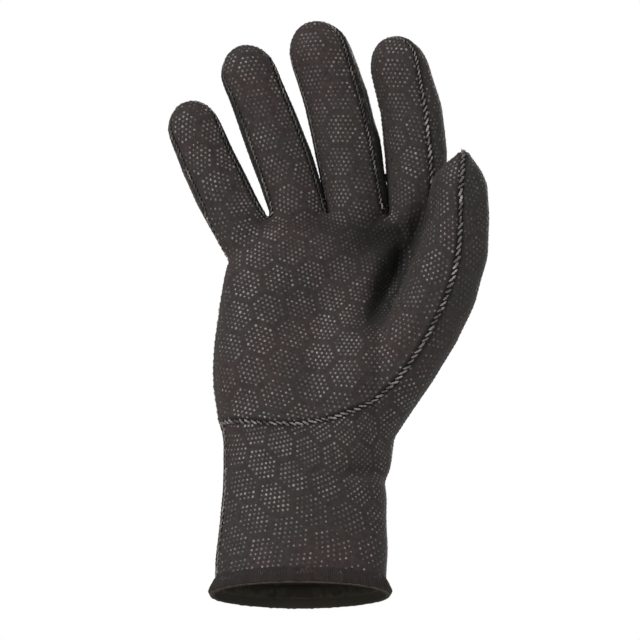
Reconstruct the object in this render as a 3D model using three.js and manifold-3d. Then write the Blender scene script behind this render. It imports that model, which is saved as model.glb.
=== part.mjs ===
// A right-hand diving glove sewn from foam-rubber sheet, standing as it does on a hand: the palm faces -Y,
// the thumb is on the +X side, the fingers point up, and the cuff's mouth is open at Z = 0.
// Every tube of the glove (body, fingers, thumb) is lofted twice, as its outside and as its hollow. The union of
// the outsides less the union of the hollows is the glove's wall, which cutters then part along the seams into the
// panels that the real glove is sewn from. Lengths are in millimetres.
import * as THREE from "three";
import { mergeVertices } from "three/addons/utils/BufferGeometryUtils.js";
import Module from "manifold-3d";

const wasm = await Module();
wasm.setup();

// Driving sizes
const gloveLength = 274; // from the cuff's mouth to the tip of the middle finger
const palmWidth = 100; // outside, across the knuckles
const palmDepth = 40; // outside, through the heel of the hand
const cuffWidth = 79; // outside, at the mouth
const cuffDepth = 48; // outside, at the mouth
const fingerWidth = 30; // outside, of the middle finger
const fingerDepth = 26; // outside, of the middle finger
const thumbWidth = 34; // outside, across the ball of the thumb
const thumbDepth = 31; // outside, through the ball of the thumb
const wall = 3; // thickness of the foam-rubber sheet
const seamGap = 0.3; // clear space between two panels that are sewn together
const bindingHeight = 8; // of the tape folded over the cuff's edge
const bindingTape = 1.2; // thickness of that tape
const bindingClearance = 0.3; // between the tape and the wall inside it
const wristFoldDepth = 1.2; // of the crease on the thumb side of the wrist

// Fineness of the lofts
const bodySides = 30;
const fingerSides = 14;
const domeRows = 4;
const cuffBoxiness = 2.05; // exponent of the cuff's rounded sections, where 2 is an ellipse
const palmBoxiness = 2.4; // and of the palm's
const domeShare = 1.15; // length of a fingertip's dome over half the finger's width
const thumbTipShare = 0.85; // length of the thumb's roof-shaped tip over half its width
const roofPower = 1.35; // how full the roof's slopes are, where 1 is straight
const poleShare = 0.04; // size of the last ring at a tip, which the cap closes

// The body from the cuff to the knuckles. up is a share of gloveLength. hand blends from the cuff's sizes (0) to the
// palm's (1). left and right are shares of that width, front, back, hollow and thenar (the swelling at the ball of the
// thumb) of that depth, and fold of wristFoldDepth.
const bodySections = [
  { up: 0.0, hand: 0.0, left: 0.512, right: 0.504, front: 0.52, back: 0.495, hollow: 0.0, thenar: 0.0, fold: 0 },
  { up: 0.03, hand: 0.0, left: 0.494, right: 0.51, front: 0.51, back: 0.485, hollow: 0.0, thenar: 0.0, fold: 0 },
  { up: 0.08, hand: 0.0, left: 0.482, right: 0.517, front: 0.495, back: 0.48, hollow: 0.0, thenar: 0.0, fold: 0 },
  { up: 0.135, hand: 0.0, left: 0.462, right: 0.512, front: 0.48, back: 0.47, hollow: 0.0, thenar: 0.0, fold: 0 },
  { up: 0.175, hand: 0.0, left: 0.447, right: 0.515, front: 0.47, back: 0.468, hollow: 0.0, thenar: 0.0, fold: 0 },
  { up: 0.196, hand: 0.05, left: 0.438, right: 0.508, front: 0.467, back: 0.47, hollow: 0.0, thenar: 0.0, fold: 1 },
  { up: 0.222, hand: 0.15, left: 0.424, right: 0.514, front: 0.468, back: 0.475, hollow: 0.0, thenar: 0.02, fold: 0 },
  { up: 0.262, hand: 0.3, left: 0.41, right: 0.512, front: 0.476, back: 0.485, hollow: 0.01, thenar: 0.08, fold: 0 },
  { up: 0.306, hand: 0.5, left: 0.416, right: 0.505, front: 0.492, back: 0.505, hollow: 0.02, thenar: 0.18, fold: 0 },
  { up: 0.35, hand: 0.72, left: 0.418, right: 0.51, front: 0.52, back: 0.53, hollow: 0.04, thenar: 0.31, fold: 0 },
  { up: 0.394, hand: 0.9, left: 0.409, right: 0.52, front: 0.525, back: 0.54, hollow: 0.07, thenar: 0.35, fold: 0 },
  { up: 0.438, hand: 1.0, left: 0.393, right: 0.54, front: 0.51, back: 0.53, hollow: 0.1, thenar: 0.3, fold: 0 },
  { up: 0.482, hand: 1.0, left: 0.379, right: 0.57, front: 0.48, back: 0.505, hollow: 0.12, thenar: 0.16, fold: 0 },
  { up: 0.526, hand: 1.0, left: 0.362, right: 0.6, front: 0.45, back: 0.47, hollow: 0.11, thenar: 0.06, fold: 0 },
  { up: 0.57, hand: 1.0, left: 0.34, right: 0.625, front: 0.42, back: 0.435, hollow: 0.07, thenar: 0.0, fold: 0 },
  { up: 0.61, hand: 1.0, left: 0.3, right: 0.648, front: 0.385, back: 0.4, hollow: 0.03, thenar: 0.0, fold: 0 },
  { up: 0.64, hand: 1.0, left: 0.22, right: 0.648, front: 0.335, back: 0.35, hollow: 0.0, thenar: 0.0, fold: 0 },
  { up: 0.662, hand: 1.0, left: 0.14, right: 0.6, front: 0.22, back: 0.23, hollow: 0.0, thenar: 0.0, fold: 0 },
];
const hollowCentre = 0.14; // of the palm's hollow, as a share of the local width to the thumb's side
const hollowReach = 0.42; // half the hollow's breadth, as a share of the local width
const thenarCentre = 0.36; // of the ball of the thumb's swelling, and half its breadth, as shares of the local width
const thenarReach = 0.3;

// The fingers. wide and deep are shares of fingerWidth and fingerDepth. The centre line runs through four places
// (root in the palm, neck at the crotch, mid, tip), with x a share of palmWidth, z of gloveLength, and forward a share
// of fingerDepth towards the palm's side. roll turns the finger about that line, in degrees.
const fingers = {
  little: {
    wide: 0.89, deep: 0.88, roll: -3,
    root: { x: -0.155, z: 0.56, forward: 0.0 }, neck: { x: -0.287, z: 0.653, forward: 0.04 },
    mid: { x: -0.43, z: 0.757, forward: 0.16 }, tip: { x: -0.544, z: 0.859, forward: 0.46 },
  },
  ring: {
    wide: 0.93, deep: 0.95, roll: -3,
    root: { x: 0.05, z: 0.565, forward: 0.0 }, neck: { x: -0.006, z: 0.675, forward: 0.04 },
    mid: { x: -0.139, z: 0.82, forward: 0.2 }, tip: { x: -0.291, z: 0.956, forward: 0.54 },
  },
  middle: {
    wide: 1.03, deep: 1.02, roll: -17,
    root: { x: 0.285, z: 0.57, forward: 0.0 }, neck: { x: 0.275, z: 0.675, forward: 0.04 },
    mid: { x: 0.177, z: 0.864, forward: 0.23 }, tip: { x: 0.038, z: 0.997, forward: 0.58 },
  },
  index: {
    wide: 1.0, deep: 1.0, roll: -36,
    root: { x: 0.51, z: 0.57, forward: 0.0 }, neck: { x: 0.556, z: 0.673, forward: 0.12 },
    mid: { x: 0.521, z: 0.862, forward: 0.31 }, tip: { x: 0.418, z: 0.969, forward: 0.62 },
  },
};
// Along a finger, up to where its dome starts: wide and deep are shares of its own width and depth, and seam is how
// far its front and back seams stand off the centre line, as a share of half its depth.
const fingerSections = [
  { along: 0.0, wide: 0.84, deep: 0.84, seam: 0.1 },
  { along: 0.18, wide: 0.89, deep: 0.9, seam: 0.3 },
  { along: 0.36, wide: 0.95, deep: 0.96, seam: 0.46 },
  { along: 0.58, wide: 1.01, deep: 1.01, seam: 0.55 },
  { along: 0.8, wide: 0.99, deep: 0.98, seam: 0.54 },
  { along: 1.0, wide: 0.945, deep: 0.93, seam: 0.44 },
];

// The thumb comes forward off the heel of the hand. Its centre line and sections are read as the fingers' are, with
// wide and deep as shares of thumbWidth and thumbDepth.
const thumbLine = [
  { x: 0.28, z: 0.262, forward: 0.0 },
  { x: 0.441, z: 0.372, forward: 0.36 },
  { x: 0.626, z: 0.486, forward: 0.76 },
  { x: 0.723, z: 0.592, forward: 1.05 },
  { x: 0.741, z: 0.664, forward: 1.2 },
  { x: 0.769, z: 0.742, forward: 1.33 },
];
const thumbSections = [
  { along: 0.0, wide: 0.7, deep: 0.8 },
  { along: 0.16, wide: 0.84, deep: 1.0 },
  { along: 0.32, wide: 0.98, deep: 1.06 },
  { along: 0.48, wide: 1.03, deep: 1.04 },
  { along: 0.62, wide: 1.02, deep: 0.98 },
  { along: 0.76, wide: 0.97, deep: 0.92 },
  { along: 0.88, wide: 0.88, deep: 0.88 },
  { along: 1.0, wide: 0.74, deep: 0.84 },
];

// The seam that starts at the little finger's side of the wrist, crosses the heel of the hand and climbs the middle of
// the thumb: x is a share of palmWidth and z of gloveLength.
const thumbSeam = [
  { x: -0.46, z: 0.304 },
  { x: -0.25, z: 0.29 },
  { x: -0.08, z: 0.282 },
  { x: 0.12, z: 0.288 },
  { x: 0.28, z: 0.308 },
  { x: 0.42, z: 0.342 },
  { x: 0.54, z: 0.394 },
  { x: 0.65, z: 0.462 },
  { x: 0.72, z: 0.53 },
  { x: 0.744, z: 0.59 },
  { x: 0.746, z: 0.65 },
  { x: 0.757, z: 0.7 },
  { x: 0.765, z: 0.747 },
  { x: 0.775, z: 0.8 },
];
const palmStep = 0.6; // shares of gloveLength between which the palm panel's back edge steps forward to the crotches
const palmTop = 0.668;
const crotchForward = 0.2; // that step, as a share of fingerDepth
const webLow = 0.545; // shares of gloveLength between which its thumb's part steps forward to clear the fingers
const webHigh = 0.62;
const thumbClear = 0.62; // that step, as a share of thumbDepth
const palmEdge = 0.515; // shares of palmWidth: where the palm's part ends above the web, under the index finger
const thumbEdge = 0.4; // and where the thumb's part starts
const sideSeamForward = 0.12; // of the cuff's side seam, as a share of cuffDepth
const fourchetteStart = 0.16; // share of a finger's centre line where its side strip starts, below the crotch
const reach = 3; // how far a cutter stands out of what it cuts
const skim = 0.2; // and how far a finger's own cutter stands out of its sides

// Turns a table's place into a point.
const placeOf = (row, depth) =>
  new THREE.Vector3(row.x * palmWidth, -row.forward * depth, row.z * gloveLength);

// Skins a list of rings (equal counts of points, in order) into one closed surface with a fan over each end.
function loft(rings) {
  const sides = rings[0].length;
  const points = rings.flat();
  const faces = [];
  for (let r = 0; r + 1 < rings.length; r++) {
    for (let i = 0; i < sides; i++) {
      const a = r * sides + i;
      const b = r * sides + ((i + 1) % sides);
      faces.push(a, b, b + sides, a, b + sides, a + sides);
    }
  }
  const middleOf = (ring) =>
    ring.reduce((sum, p) => sum.add(p), new THREE.Vector3()).divideScalar(sides);
  const low = points.push(middleOf(rings[0])) - 1;
  const high = points.push(middleOf(rings[rings.length - 1])) - 1;
  const last = (rings.length - 1) * sides;
  for (let i = 0; i < sides; i++) {
    const next = (i + 1) % sides;
    faces.push(low, next, i, high, last + i, last + next);
  }
  const geometry = new THREE.BufferGeometry().setFromPoints(points);
  return geometry.setIndex(faces);
}

// Joins and cuts are made on solids.
function solidOf(geometry) {
  const bare = geometry.clone();
  bare.deleteAttribute("normal");
  bare.deleteAttribute("uv");
  const merged = mergeVertices(bare, 1e-4);
  return new wasm.Manifold(
    new wasm.Mesh({
      numProp: 3,
      vertProperties: new Float32Array(merged.attributes.position.array),
      triVerts: new Uint32Array(merged.index.array),
    }),
  );
}
const unionOf = (solids) => solids.reduce((sum, solid) => sum.add(solid));

// A mesh of one solid. Crumbs that a cut leaves at a seam's end, under a cubic millimetre, are swept away.
function meshOf(name, solid, material) {
  const body = solid.decompose().sort((a, b) => b.volume() - a.volume())[0];
  const { vertProperties, triVerts, numProp, numVert } = body.getMesh();
  const position = new Float32Array(numVert * 3);
  for (let i = 0; i < numVert; i++) {
    position.set(vertProperties.subarray(i * numProp, i * numProp + 3), i * 3);
  }
  const geometry = new THREE.BufferGeometry();
  geometry.setAttribute("position", new THREE.BufferAttribute(position, 3));
  geometry.setIndex(new THREE.BufferAttribute(new Uint32Array(triVerts), 1));
  geometry.computeVertexNormals();
  const mesh = new THREE.Mesh(geometry, material);
  mesh.name = name;
  return mesh;
}

const power = (value, exponent) => Math.sign(value) * Math.abs(value) ** exponent;

// One ring of the body at height z. inset moves it inwards, so the hollow is made with the wall's thickness.
function bodyRing(row, z, inset) {
  const width = THREE.MathUtils.lerp(cuffWidth, palmWidth, row.hand);
  const depth = THREE.MathUtils.lerp(cuffDepth, palmDepth, row.hand);
  const right = width * row.right - inset;
  const left = width * row.left - inset;
  const front = Math.max(depth * row.front - inset, poleShare * depth);
  const back = Math.max(depth * row.back - inset, poleShare * depth);
  const boxiness = THREE.MathUtils.lerp(cuffBoxiness, palmBoxiness, row.hand);
  const bump = (x, centre, spread) => Math.max(0, 1 - ((x - centre * width) / (spread * width)) ** 2) ** 2;
  return Array.from({ length: bodySides }, (_, i) => {
    const angle = (2 * Math.PI * i) / bodySides;
    const c = power(Math.cos(angle), 2 / boxiness);
    const s = power(Math.sin(angle), 2 / boxiness);
    const foldHere = row.fold * wristFoldDepth * Math.max(0, c) ** 2;
    const x = (c > 0 ? right : left) * c - foldHere;
    const dish = row.hollow * bump(x, hollowCentre, hollowReach) - row.thenar * bump(x, thenarCentre, thenarReach);
    return new THREE.Vector3(x, (s > 0 ? back : front) * s - Math.min(s, 0) * dish * depth, z);
  });
}

// The body's loft. With an inset it is the hollow, which runs out through the mouth and stops short of the top.
function body(inset) {
  const top = bodySections[bodySections.length - 1].up * gloveLength;
  const start = inset ? -reach : bindingTape;
  const rings = bodySections.map((row, i) => {
    const z = i ? row.up * gloveLength * (1 - inset / top) : start;
    return bodyRing(row, z, inset);
  });
  return solidOf(loft(rings));
}

// The frame at a share of a centre line: its place, the way along it, and the ways to its side and its back.
function frameAt(line, share, roll) {
  const place = line.getPointAt(share);
  const along = line.getTangentAt(share);
  const side = new THREE.Vector3(0, 1, 0).cross(along).normalize();
  const back = along.clone().cross(side);
  const turn = THREE.MathUtils.degToRad(roll);
  side.applyAxisAngle(along, turn);
  back.applyAxisAngle(along, turn);
  return { place, along, side, back };
}
const pointIn = (frame, across, depth) =>
  frame.place.clone().addScaledVector(frame.side, across).addScaledVector(frame.back, depth);

// A value of a table's column at a share of the way along it.
function readTable(table, column, share) {
  const next = table.findIndex((row) => row.along >= share);
  if (next <= 0) return table[next === 0 ? 0 : table.length - 1][column];
  const [a, b] = [table[next - 1], table[next]];
  return THREE.MathUtils.lerp(a[column], b[column], (share - a.along) / (b.along - a.along));
}

// A finger or the thumb: a tube along a centre line, with a rounded end. tipLength is the end's length, and roof makes
// that end's sides straight, so that it comes to a ridge.
function tube({ line, sections, width, depth, roll, tipLength, roof }, inset) {
  const length = line.getLength();
  const straight = (length - tipLength) / length;
  const keep = 1 - inset / length;
  const last = sections[sections.length - 1];
  const ring = (share, wide, deep) => {
    const frame = frameAt(line, share * keep, roll);
    const halfWidth = wide * (width / 2 - inset);
    const halfDepth = deep * (depth / 2 - inset);
    return Array.from({ length: fingerSides }, (_, i) => {
      const angle = (2 * Math.PI * i) / fingerSides;
      return pointIn(frame, halfWidth * Math.cos(angle), halfDepth * Math.sin(angle));
    });
  };
  const rings = sections.map((row) => ring(row.along * straight, row.wide, row.deep));
  for (let k = 1; k <= domeRows; k++) {
    const angle = (Math.PI / 2) * (k / domeRows);
    const round = Math.max(Math.cos(angle), poleShare);
    const narrow = roof ? Math.max(1 - Math.sin(angle) ** roofPower, poleShare) : round;
    const share = straight + (1 - straight) * Math.sin(angle);
    rings.push(ring(share, last.wide * narrow, last.deep * round));
  }
  return solidOf(loft(rings));
}

// A strip that follows a finger's centre line. sectionAt(share) lists its corners as [across, depth], anticlockwise
// when seen from the tip. It starts at a share of the line, less grow, and runs past the tip.
function strip({ line, roll }, from, grow, sectionAt) {
  const steps = 6;
  const rings = Array.from({ length: steps + 1 }, (_, k) => {
    const share = from + ((1 - from) * k) / steps;
    const frame = frameAt(line, share, roll);
    return sectionAt(share).map(([across, depth]) => pointIn(frame, across, depth));
  });
  const before = line.getTangentAt(from).multiplyScalar(-grow);
  rings[0].forEach((point) => point.add(before));
  const beyond = line.getTangentAt(1).multiplyScalar(2 * reach);
  rings.push(rings[steps].map((point) => point.clone().add(beyond)));
  return solidOf(loft(rings));
}

// The tubes
const fingerTubes = Object.fromEntries(
  Object.entries(fingers).map(([name, row]) => {
    const depth = fingerDepth * row.deep;
    const width = fingerWidth * row.wide;
    const places = [row.root, row.neck, row.mid, row.tip].map((p) => placeOf(p, depth));
    const line = new THREE.CatmullRomCurve3(places, false, "centripetal");
    const tipLength = (domeShare * width) / 2;
    return [name, { line, sections: fingerSections, width, depth, roll: row.roll, tipLength, roof: false }];
  }),
);
const thumbTube = {
  line: new THREE.CatmullRomCurve3(thumbLine.map((p) => placeOf(p, thumbDepth)), false, "centripetal"),
  sections: thumbSections,
  width: thumbWidth,
  depth: thumbDepth,
  roll: 0,
  tipLength: thumbTipShare * (thumbWidth / 2),
  roof: true,
};
const tubes = [...Object.values(fingerTubes), thumbTube];
const outside = unionOf([body(0), ...tubes.map((t) => tube(t, 0))]);
const hollow = unionOf([body(wall), ...tubes.map((t) => tube(t, wall))]);
const shell = outside.subtract(hollow);

// How far a finger's seams stand off its centre line, at a share of that line.
function seamOffset(finger, share) {
  const straight = 1 - finger.tipLength / finger.line.getLength();
  const half = finger.depth / 2;
  if (share <= straight) return half * readTable(fingerSections, "seam", share / straight);
  const left = (1 - share) / (1 - straight);
  return half * fingerSections[fingerSections.length - 1].seam * left;
}

// The part of a finger in front of its front seams. grow widens it by the gap at a seam.
function frontOf(finger, grow) {
  const side = finger.width / 2 + skim + grow;
  const front = -finger.depth / 2 - skim - grow;
  return strip(finger, 0, grow, (share) => {
    const seam = grow - seamOffset(finger, share);
    const shoulder = Math.min(0.35 * front, seam - grow);
    return [[-side, seam], [-side, shoulder], [-side / 2, front], [side / 2, front], [side, shoulder], [side, seam]];
  });
}
// The part of a finger between its front and back seams, on one side (+1 is the thumb's side).
function sideOf(finger, hand, grow) {
  const inner = 0.2 * finger.width - grow;
  const outer = finger.width / 2 + reach / 2 + grow;
  const [left, right] = hand > 0 ? [inner, outer] : [-outer, -inner];
  return strip(finger, fourchetteStart, grow, (share) => {
    const offset = seamOffset(finger, share) + grow;
    return [[left, -offset], [right, -offset], [right, offset], [left, offset]];
  });
}

// A flat outline in X and Z, given the Y range that it is extruded through.
function prism(outline, fromY, toY) {
  const shape = new THREE.Shape(outline);
  const geometry = new THREE.ExtrudeGeometry(shape, { depth: toY - fromY, bevelEnabled: false, steps: 1 });
  return solidOf(geometry.rotateX(Math.PI / 2).translate(0, toY, 0));
}
const far = 2 * palmWidth;

// What lies within an outline in X and Z, and before the profile of [height, furthest Y], which is read upwards.
function regionOf(outline, profile) {
  const edge = profile.map(([z, y]) => new THREE.Vector2(y, z));
  const [low, high] = [edge[0], edge[edge.length - 1]];
  const shape = new THREE.Shape([
    new THREE.Vector2(-far, -far), new THREE.Vector2(low.x, -far), ...edge,
    new THREE.Vector2(high.x, 2 * far), new THREE.Vector2(-far, 2 * far),
  ]);
  const before = new THREE.ExtrudeGeometry(shape, { depth: 2 * far, bevelEnabled: false, steps: 1 });
  before.applyMatrix4(new THREE.Matrix4().set(0, 0, 1, -far, 1, 0, 0, 0, 0, 1, 0, 0, 0, 0, 0, 1));
  return prism(outline, -far, far).intersect(solidOf(before));
}

// What lies on the palm's side of the thumb seam, in front of the side seams. grow widens it at every seam.
function palmRegion(grow) {
  const seam = new THREE.SplineCurve(
    thumbSeam.map((p) => new THREE.Vector2(p.x * palmWidth, p.z * gloveLength)),
  );
  const steps = 22;
  const edge = Array.from({ length: steps + 1 }, (_, i) => {
    const point = seam.getPointAt(i / steps);
    const way = seam.getTangentAt(i / steps);
    return point.add(new THREE.Vector2(way.y, -way.x).multiplyScalar(grow));
  });
  const [start, end] = [edge[0], edge[edge.length - 1]];
  const web = webLow * gloveLength;
  const top = palmTop * gloveLength + grow;
  const right = palmEdge * palmWidth + grow;
  const left = thumbEdge * palmWidth - grow;
  const below = edge.filter((point) => point.y < web);
  const palm = regionOf(
    [
      ...below, new THREE.Vector2(below[below.length - 1].x, web + grow), new THREE.Vector2(right, web + grow),
      new THREE.Vector2(right, top), new THREE.Vector2(start.x - far, top), new THREE.Vector2(start.x - far, start.y),
    ],
    [[palmStep * gloveLength, grow], [palmTop * gloveLength, grow - crotchForward * fingerDepth]],
  );
  const thumb = regionOf(
    [...edge, new THREE.Vector2(left, end.y), new THREE.Vector2(left, web)],
    [[web, grow], [webHigh * gloveLength, grow - thumbClear * thumbDepth]],
  );
  return palm.add(thumb);
}

// Every panel's region, with and without the gap at its seams.
const frontRegion = (grow) =>
  unionOf([palmRegion(grow), ...Object.values(fingerTubes).map((f) => frontOf(f, grow))]);
const frontTight = frontRegion(0);
const frontWide = frontRegion(seamGap);
const pairs = [
  ["fourchette_ring_little", fingerTubes.little, fingerTubes.ring],
  ["fourchette_middle_ring", fingerTubes.ring, fingerTubes.middle],
  ["fourchette_index_middle", fingerTubes.middle, fingerTubes.index],
];
const between = (low, high, grow) => sideOf(low, 1, grow).add(sideOf(high, -1, grow));

// The cuff's side seam: a slit from the wrist seam down to the mouth, on the little finger's side.
const slitY = -sideSeamForward * cuffDepth;
const slit = prism(
  [
    new THREE.Vector2(-far, -reach), new THREE.Vector2(0, -reach),
    new THREE.Vector2(0, thumbSeam[0].z * gloveLength), new THREE.Vector2(-far, thumbSeam[0].z * gloveLength),
  ],
  slitY - seamGap / 2,
  slitY + seamGap / 2,
).intersect(
  prism(
    [
      new THREE.Vector2(-far, -far), new THREE.Vector2(-cuffWidth / 4, -far),
      new THREE.Vector2(-cuffWidth / 4, far), new THREE.Vector2(-far, far),
    ],
    -far,
    far,
  ),
);

// The tape folded over the cuff's edge: a ring round the wall, less a channel for the wall and the way in.
function bodySlice(inset, fromZ, toZ) {
  const rowAt = (z) => {
    const share = z / gloveLength;
    const next = Math.max(1, bodySections.findIndex((row) => row.up >= share));
    const [a, b] = [bodySections[next - 1], bodySections[next]];
    const t = THREE.MathUtils.clamp((share - a.up) / (b.up - a.up), 0, 1);
    return Object.fromEntries(Object.keys(a).map((key) => [key, THREE.MathUtils.lerp(a[key], b[key], t)]));
  };
  return solidOf(loft([fromZ, (fromZ + toZ) / 2, toZ].map((z) => bodyRing(rowAt(z), z, inset))));
}
const tapeOut = bindingTape + bindingClearance;
const tape = bodySlice(-tapeOut, 0, bindingHeight)
  .subtract(bodySlice(wall + tapeOut, -reach, bindingHeight + reach))
  .subtract(
    bodySlice(-bindingClearance, bindingTape - bindingClearance, bindingHeight + reach).subtract(
      bodySlice(wall + bindingClearance, -reach, bindingHeight + 2 * reach),
    ),
  );

// Materials: a dark brown-grey foam sheet with a knitted face, darker strips, and a brown tape
const sheet = new THREE.MeshStandardMaterial({ color: 0x3a3431, roughness: 0.85, metalness: 0 });
const sideSheet = new THREE.MeshStandardMaterial({ color: 0x2b2725, roughness: 0.88, metalness: 0 });
const tapeCloth = new THREE.MeshStandardMaterial({ color: 0x33282a, roughness: 0.9, metalness: 0 });

const glove = new THREE.Group();
glove.add(meshOf("palm_panel", shell.intersect(frontTight), sheet));
let rest = shell.subtract(frontWide).subtract(slit);
for (const [name, low, high] of pairs) {
  glove.add(meshOf(name, shell.intersect(between(low, high, 0)).subtract(frontWide), sideSheet));
  rest = rest.subtract(between(low, high, seamGap));
}
glove.add(meshOf("back_panel", rest, sheet));
glove.add(meshOf("cuff_binding", tape, tapeCloth));

export default glove;
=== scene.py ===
# %% [markdown]
# A right-hand diving glove, sewn from foam-rubber sheet with a knitted face and a printed grip pattern. The
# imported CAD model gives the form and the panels. This script gives them their soft surface, the seams with
# their stitches, the printed dots, the tape at the cuff and every finish.

# %% Load the frame
import math
import bpy
import bmesh
import numpy as np
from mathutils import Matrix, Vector
from mathutils.bvhtree import BVHTree
from mathutils.kdtree import KDTree


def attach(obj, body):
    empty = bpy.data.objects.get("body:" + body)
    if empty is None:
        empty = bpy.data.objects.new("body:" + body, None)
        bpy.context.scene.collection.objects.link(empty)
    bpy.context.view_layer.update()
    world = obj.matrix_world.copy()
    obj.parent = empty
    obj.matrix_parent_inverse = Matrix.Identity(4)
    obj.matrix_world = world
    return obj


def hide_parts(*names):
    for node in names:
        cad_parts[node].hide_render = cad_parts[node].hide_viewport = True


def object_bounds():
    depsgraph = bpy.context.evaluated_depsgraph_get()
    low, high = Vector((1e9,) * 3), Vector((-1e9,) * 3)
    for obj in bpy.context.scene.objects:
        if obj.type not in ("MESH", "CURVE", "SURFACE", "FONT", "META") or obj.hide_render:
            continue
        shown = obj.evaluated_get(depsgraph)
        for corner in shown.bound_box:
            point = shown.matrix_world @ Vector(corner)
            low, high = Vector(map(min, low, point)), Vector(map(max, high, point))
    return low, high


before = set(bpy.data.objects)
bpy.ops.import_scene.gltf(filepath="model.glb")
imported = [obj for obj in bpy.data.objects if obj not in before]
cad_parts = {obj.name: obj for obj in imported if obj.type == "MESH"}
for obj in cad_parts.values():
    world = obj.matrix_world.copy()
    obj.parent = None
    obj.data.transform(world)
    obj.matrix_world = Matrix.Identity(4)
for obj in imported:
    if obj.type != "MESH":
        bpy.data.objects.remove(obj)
cad_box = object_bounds()
mm = 0.001
PANELS = ["palm_panel", "back_panel", "fourchette_index_middle", "fourchette_middle_ring",
          "fourchette_ring_little"]
print("the glove in CAD is", [round(side / mm) for side in cad_box[1] - cad_box[0]], "mm")

# %% [markdown]
# The photograph looks up at the glove from about 15 degrees below, from far away, so a long lens 2.5 m off
# gives the same flat perspective.

# %% Camera
PHOTO_TILT = math.radians(14)
CAMERA_DISTANCE = 2.5
PHOTO_WIDTH = 296.8 * mm  # what the frame shows at the glove
PHOTO_CENTRE = Vector((9.6, -33.2, 123.8)) * mm

look = Vector((0, math.cos(PHOTO_TILT), math.sin(PHOTO_TILT)))
camera = bpy.data.objects.new("camera", bpy.data.cameras.new("camera"))
bpy.context.scene.collection.objects.link(camera)
camera.location = PHOTO_CENTRE - CAMERA_DISTANCE * look
camera.rotation_euler = (math.pi / 2 + PHOTO_TILT, 0, 0)
camera.data.sensor_width = 36
camera.data.lens = camera.data.sensor_width * CAMERA_DISTANCE / PHOTO_WIDTH
camera.data.clip_end = 50
bpy.context.scene.camera = camera
print("lens", round(camera.data.lens), "mm")

# %% [markdown]
# The light is a studio's: a large soft lamp above, in front and to the left, a weak one to the right, one
# from below and one behind, for the glove's back. The room is white to the camera, but gives the glove only
# a little of its light, so that hollows stay dark.

# %% Light
ROOM_LIGHT = 0.27
LAMPS = [  # name, place, size across, power in watts
    ("key", (-1.3, -1.25, 1.1), 0.8, 29),
    ("fill", (1.7, -0.8, 0.6), 1.2, 10),
    ("low", (-0.3, -1.6, -0.5), 1.0, 2.5),
    ("back", (0.5, 1.7, 0.9), 1.2, 22),
]

world = bpy.data.worlds.new("studio")
bpy.context.scene.world = world
world.use_nodes = True
room = world.node_tree.nodes["Background"]
room.inputs["Color"].default_value = (1, 1, 1, 1)
seen = world.node_tree.nodes.new("ShaderNodeLightPath").outputs["Is Camera Ray"]
strength = world.node_tree.nodes.new("ShaderNodeMath")
strength.operation = "MULTIPLY_ADD"
world.node_tree.links.new(seen, strength.inputs[0])
strength.inputs[1].default_value = 1 - ROOM_LIGHT
strength.inputs[2].default_value = ROOM_LIGHT
world.node_tree.links.new(strength.outputs[0], room.inputs["Strength"])
bpy.context.scene.view_settings.view_transform = "Standard"
middle = (cad_box[0] + cad_box[1]) / 2
for name, place, size, power in LAMPS:
    lamp = bpy.data.objects.new(name, bpy.data.lights.new(name, "AREA"))
    bpy.context.scene.collection.objects.link(lamp)
    lamp.data.size = size
    lamp.data.energy = power
    lamp.location = place
    lamp.rotation_euler = (middle - Vector(place)).to_track_quat("-Z", "Y").to_euler()
print(len(LAMPS), "lamps")

# %% [markdown]
# The floor is a wide pale disc far below, because the camera looks up from under the glove. It glows to the
# camera alone, so that it looks pale and still throws no more light up.

# %% Floor
FLOOR_DROP = 0.8
FLOOR_RADIUS = 6
FLOOR_GLOW = 0.5

bpy.ops.object.select_all(action="DESELECT")
bpy.ops.mesh.primitive_circle_add(vertices=64, radius=FLOOR_RADIUS, fill_type="NGON",
                                  location=(0, 0, -FLOOR_DROP))
floor = bpy.context.object
floor.name = "floor"
floor_paint = bpy.data.materials.new("pale_floor")
floor_paint.use_nodes = True
floor_nodes = floor_paint.node_tree.nodes
floor_shader = floor_nodes["Principled BSDF"]
floor_shader.inputs["Base Color"].default_value = (0.85, 0.85, 0.84, 1)
floor_shader.inputs["Roughness"].default_value = 0.9
floor_shader.inputs["Emission Color"].default_value = (1, 1, 1, 1)
glow = floor_nodes.new("ShaderNodeMath")
glow.operation = "MULTIPLY"
glow.inputs[1].default_value = FLOOR_GLOW
floor_rays = floor_nodes.new("ShaderNodeLightPath").outputs["Is Camera Ray"]
floor_paint.node_tree.links.new(floor_rays, glow.inputs[0])
floor_paint.node_tree.links.new(glow.outputs[0], floor_shader.inputs["Emission Strength"])
floor.data.materials.append(floor_paint)
print("the floor lies", FLOOR_DROP, "m below the mouth")

# %% [markdown]
# Small helpers move a mesh's points in and out of numpy, where a whole glove's points are worked on at
# once. One more makes a piece the active one, because an operator works on what is active and selected.

# %% Mesh helpers
def points_of(mesh):
    """A mesh's points as rows of x, y, z."""
    flat = np.empty(len(mesh.vertices) * 3, np.float32)
    mesh.vertices.foreach_get("co", flat)
    return flat.reshape(-1, 3).astype(float)


def triangles_of(mesh):
    """A mesh's triangles as rows of three point numbers."""
    mesh.calc_loop_triangles()
    flat = np.empty(len(mesh.loop_triangles) * 3, np.int32)
    mesh.loop_triangles.foreach_get("vertices", flat)
    return flat.reshape(-1, 3)


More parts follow.
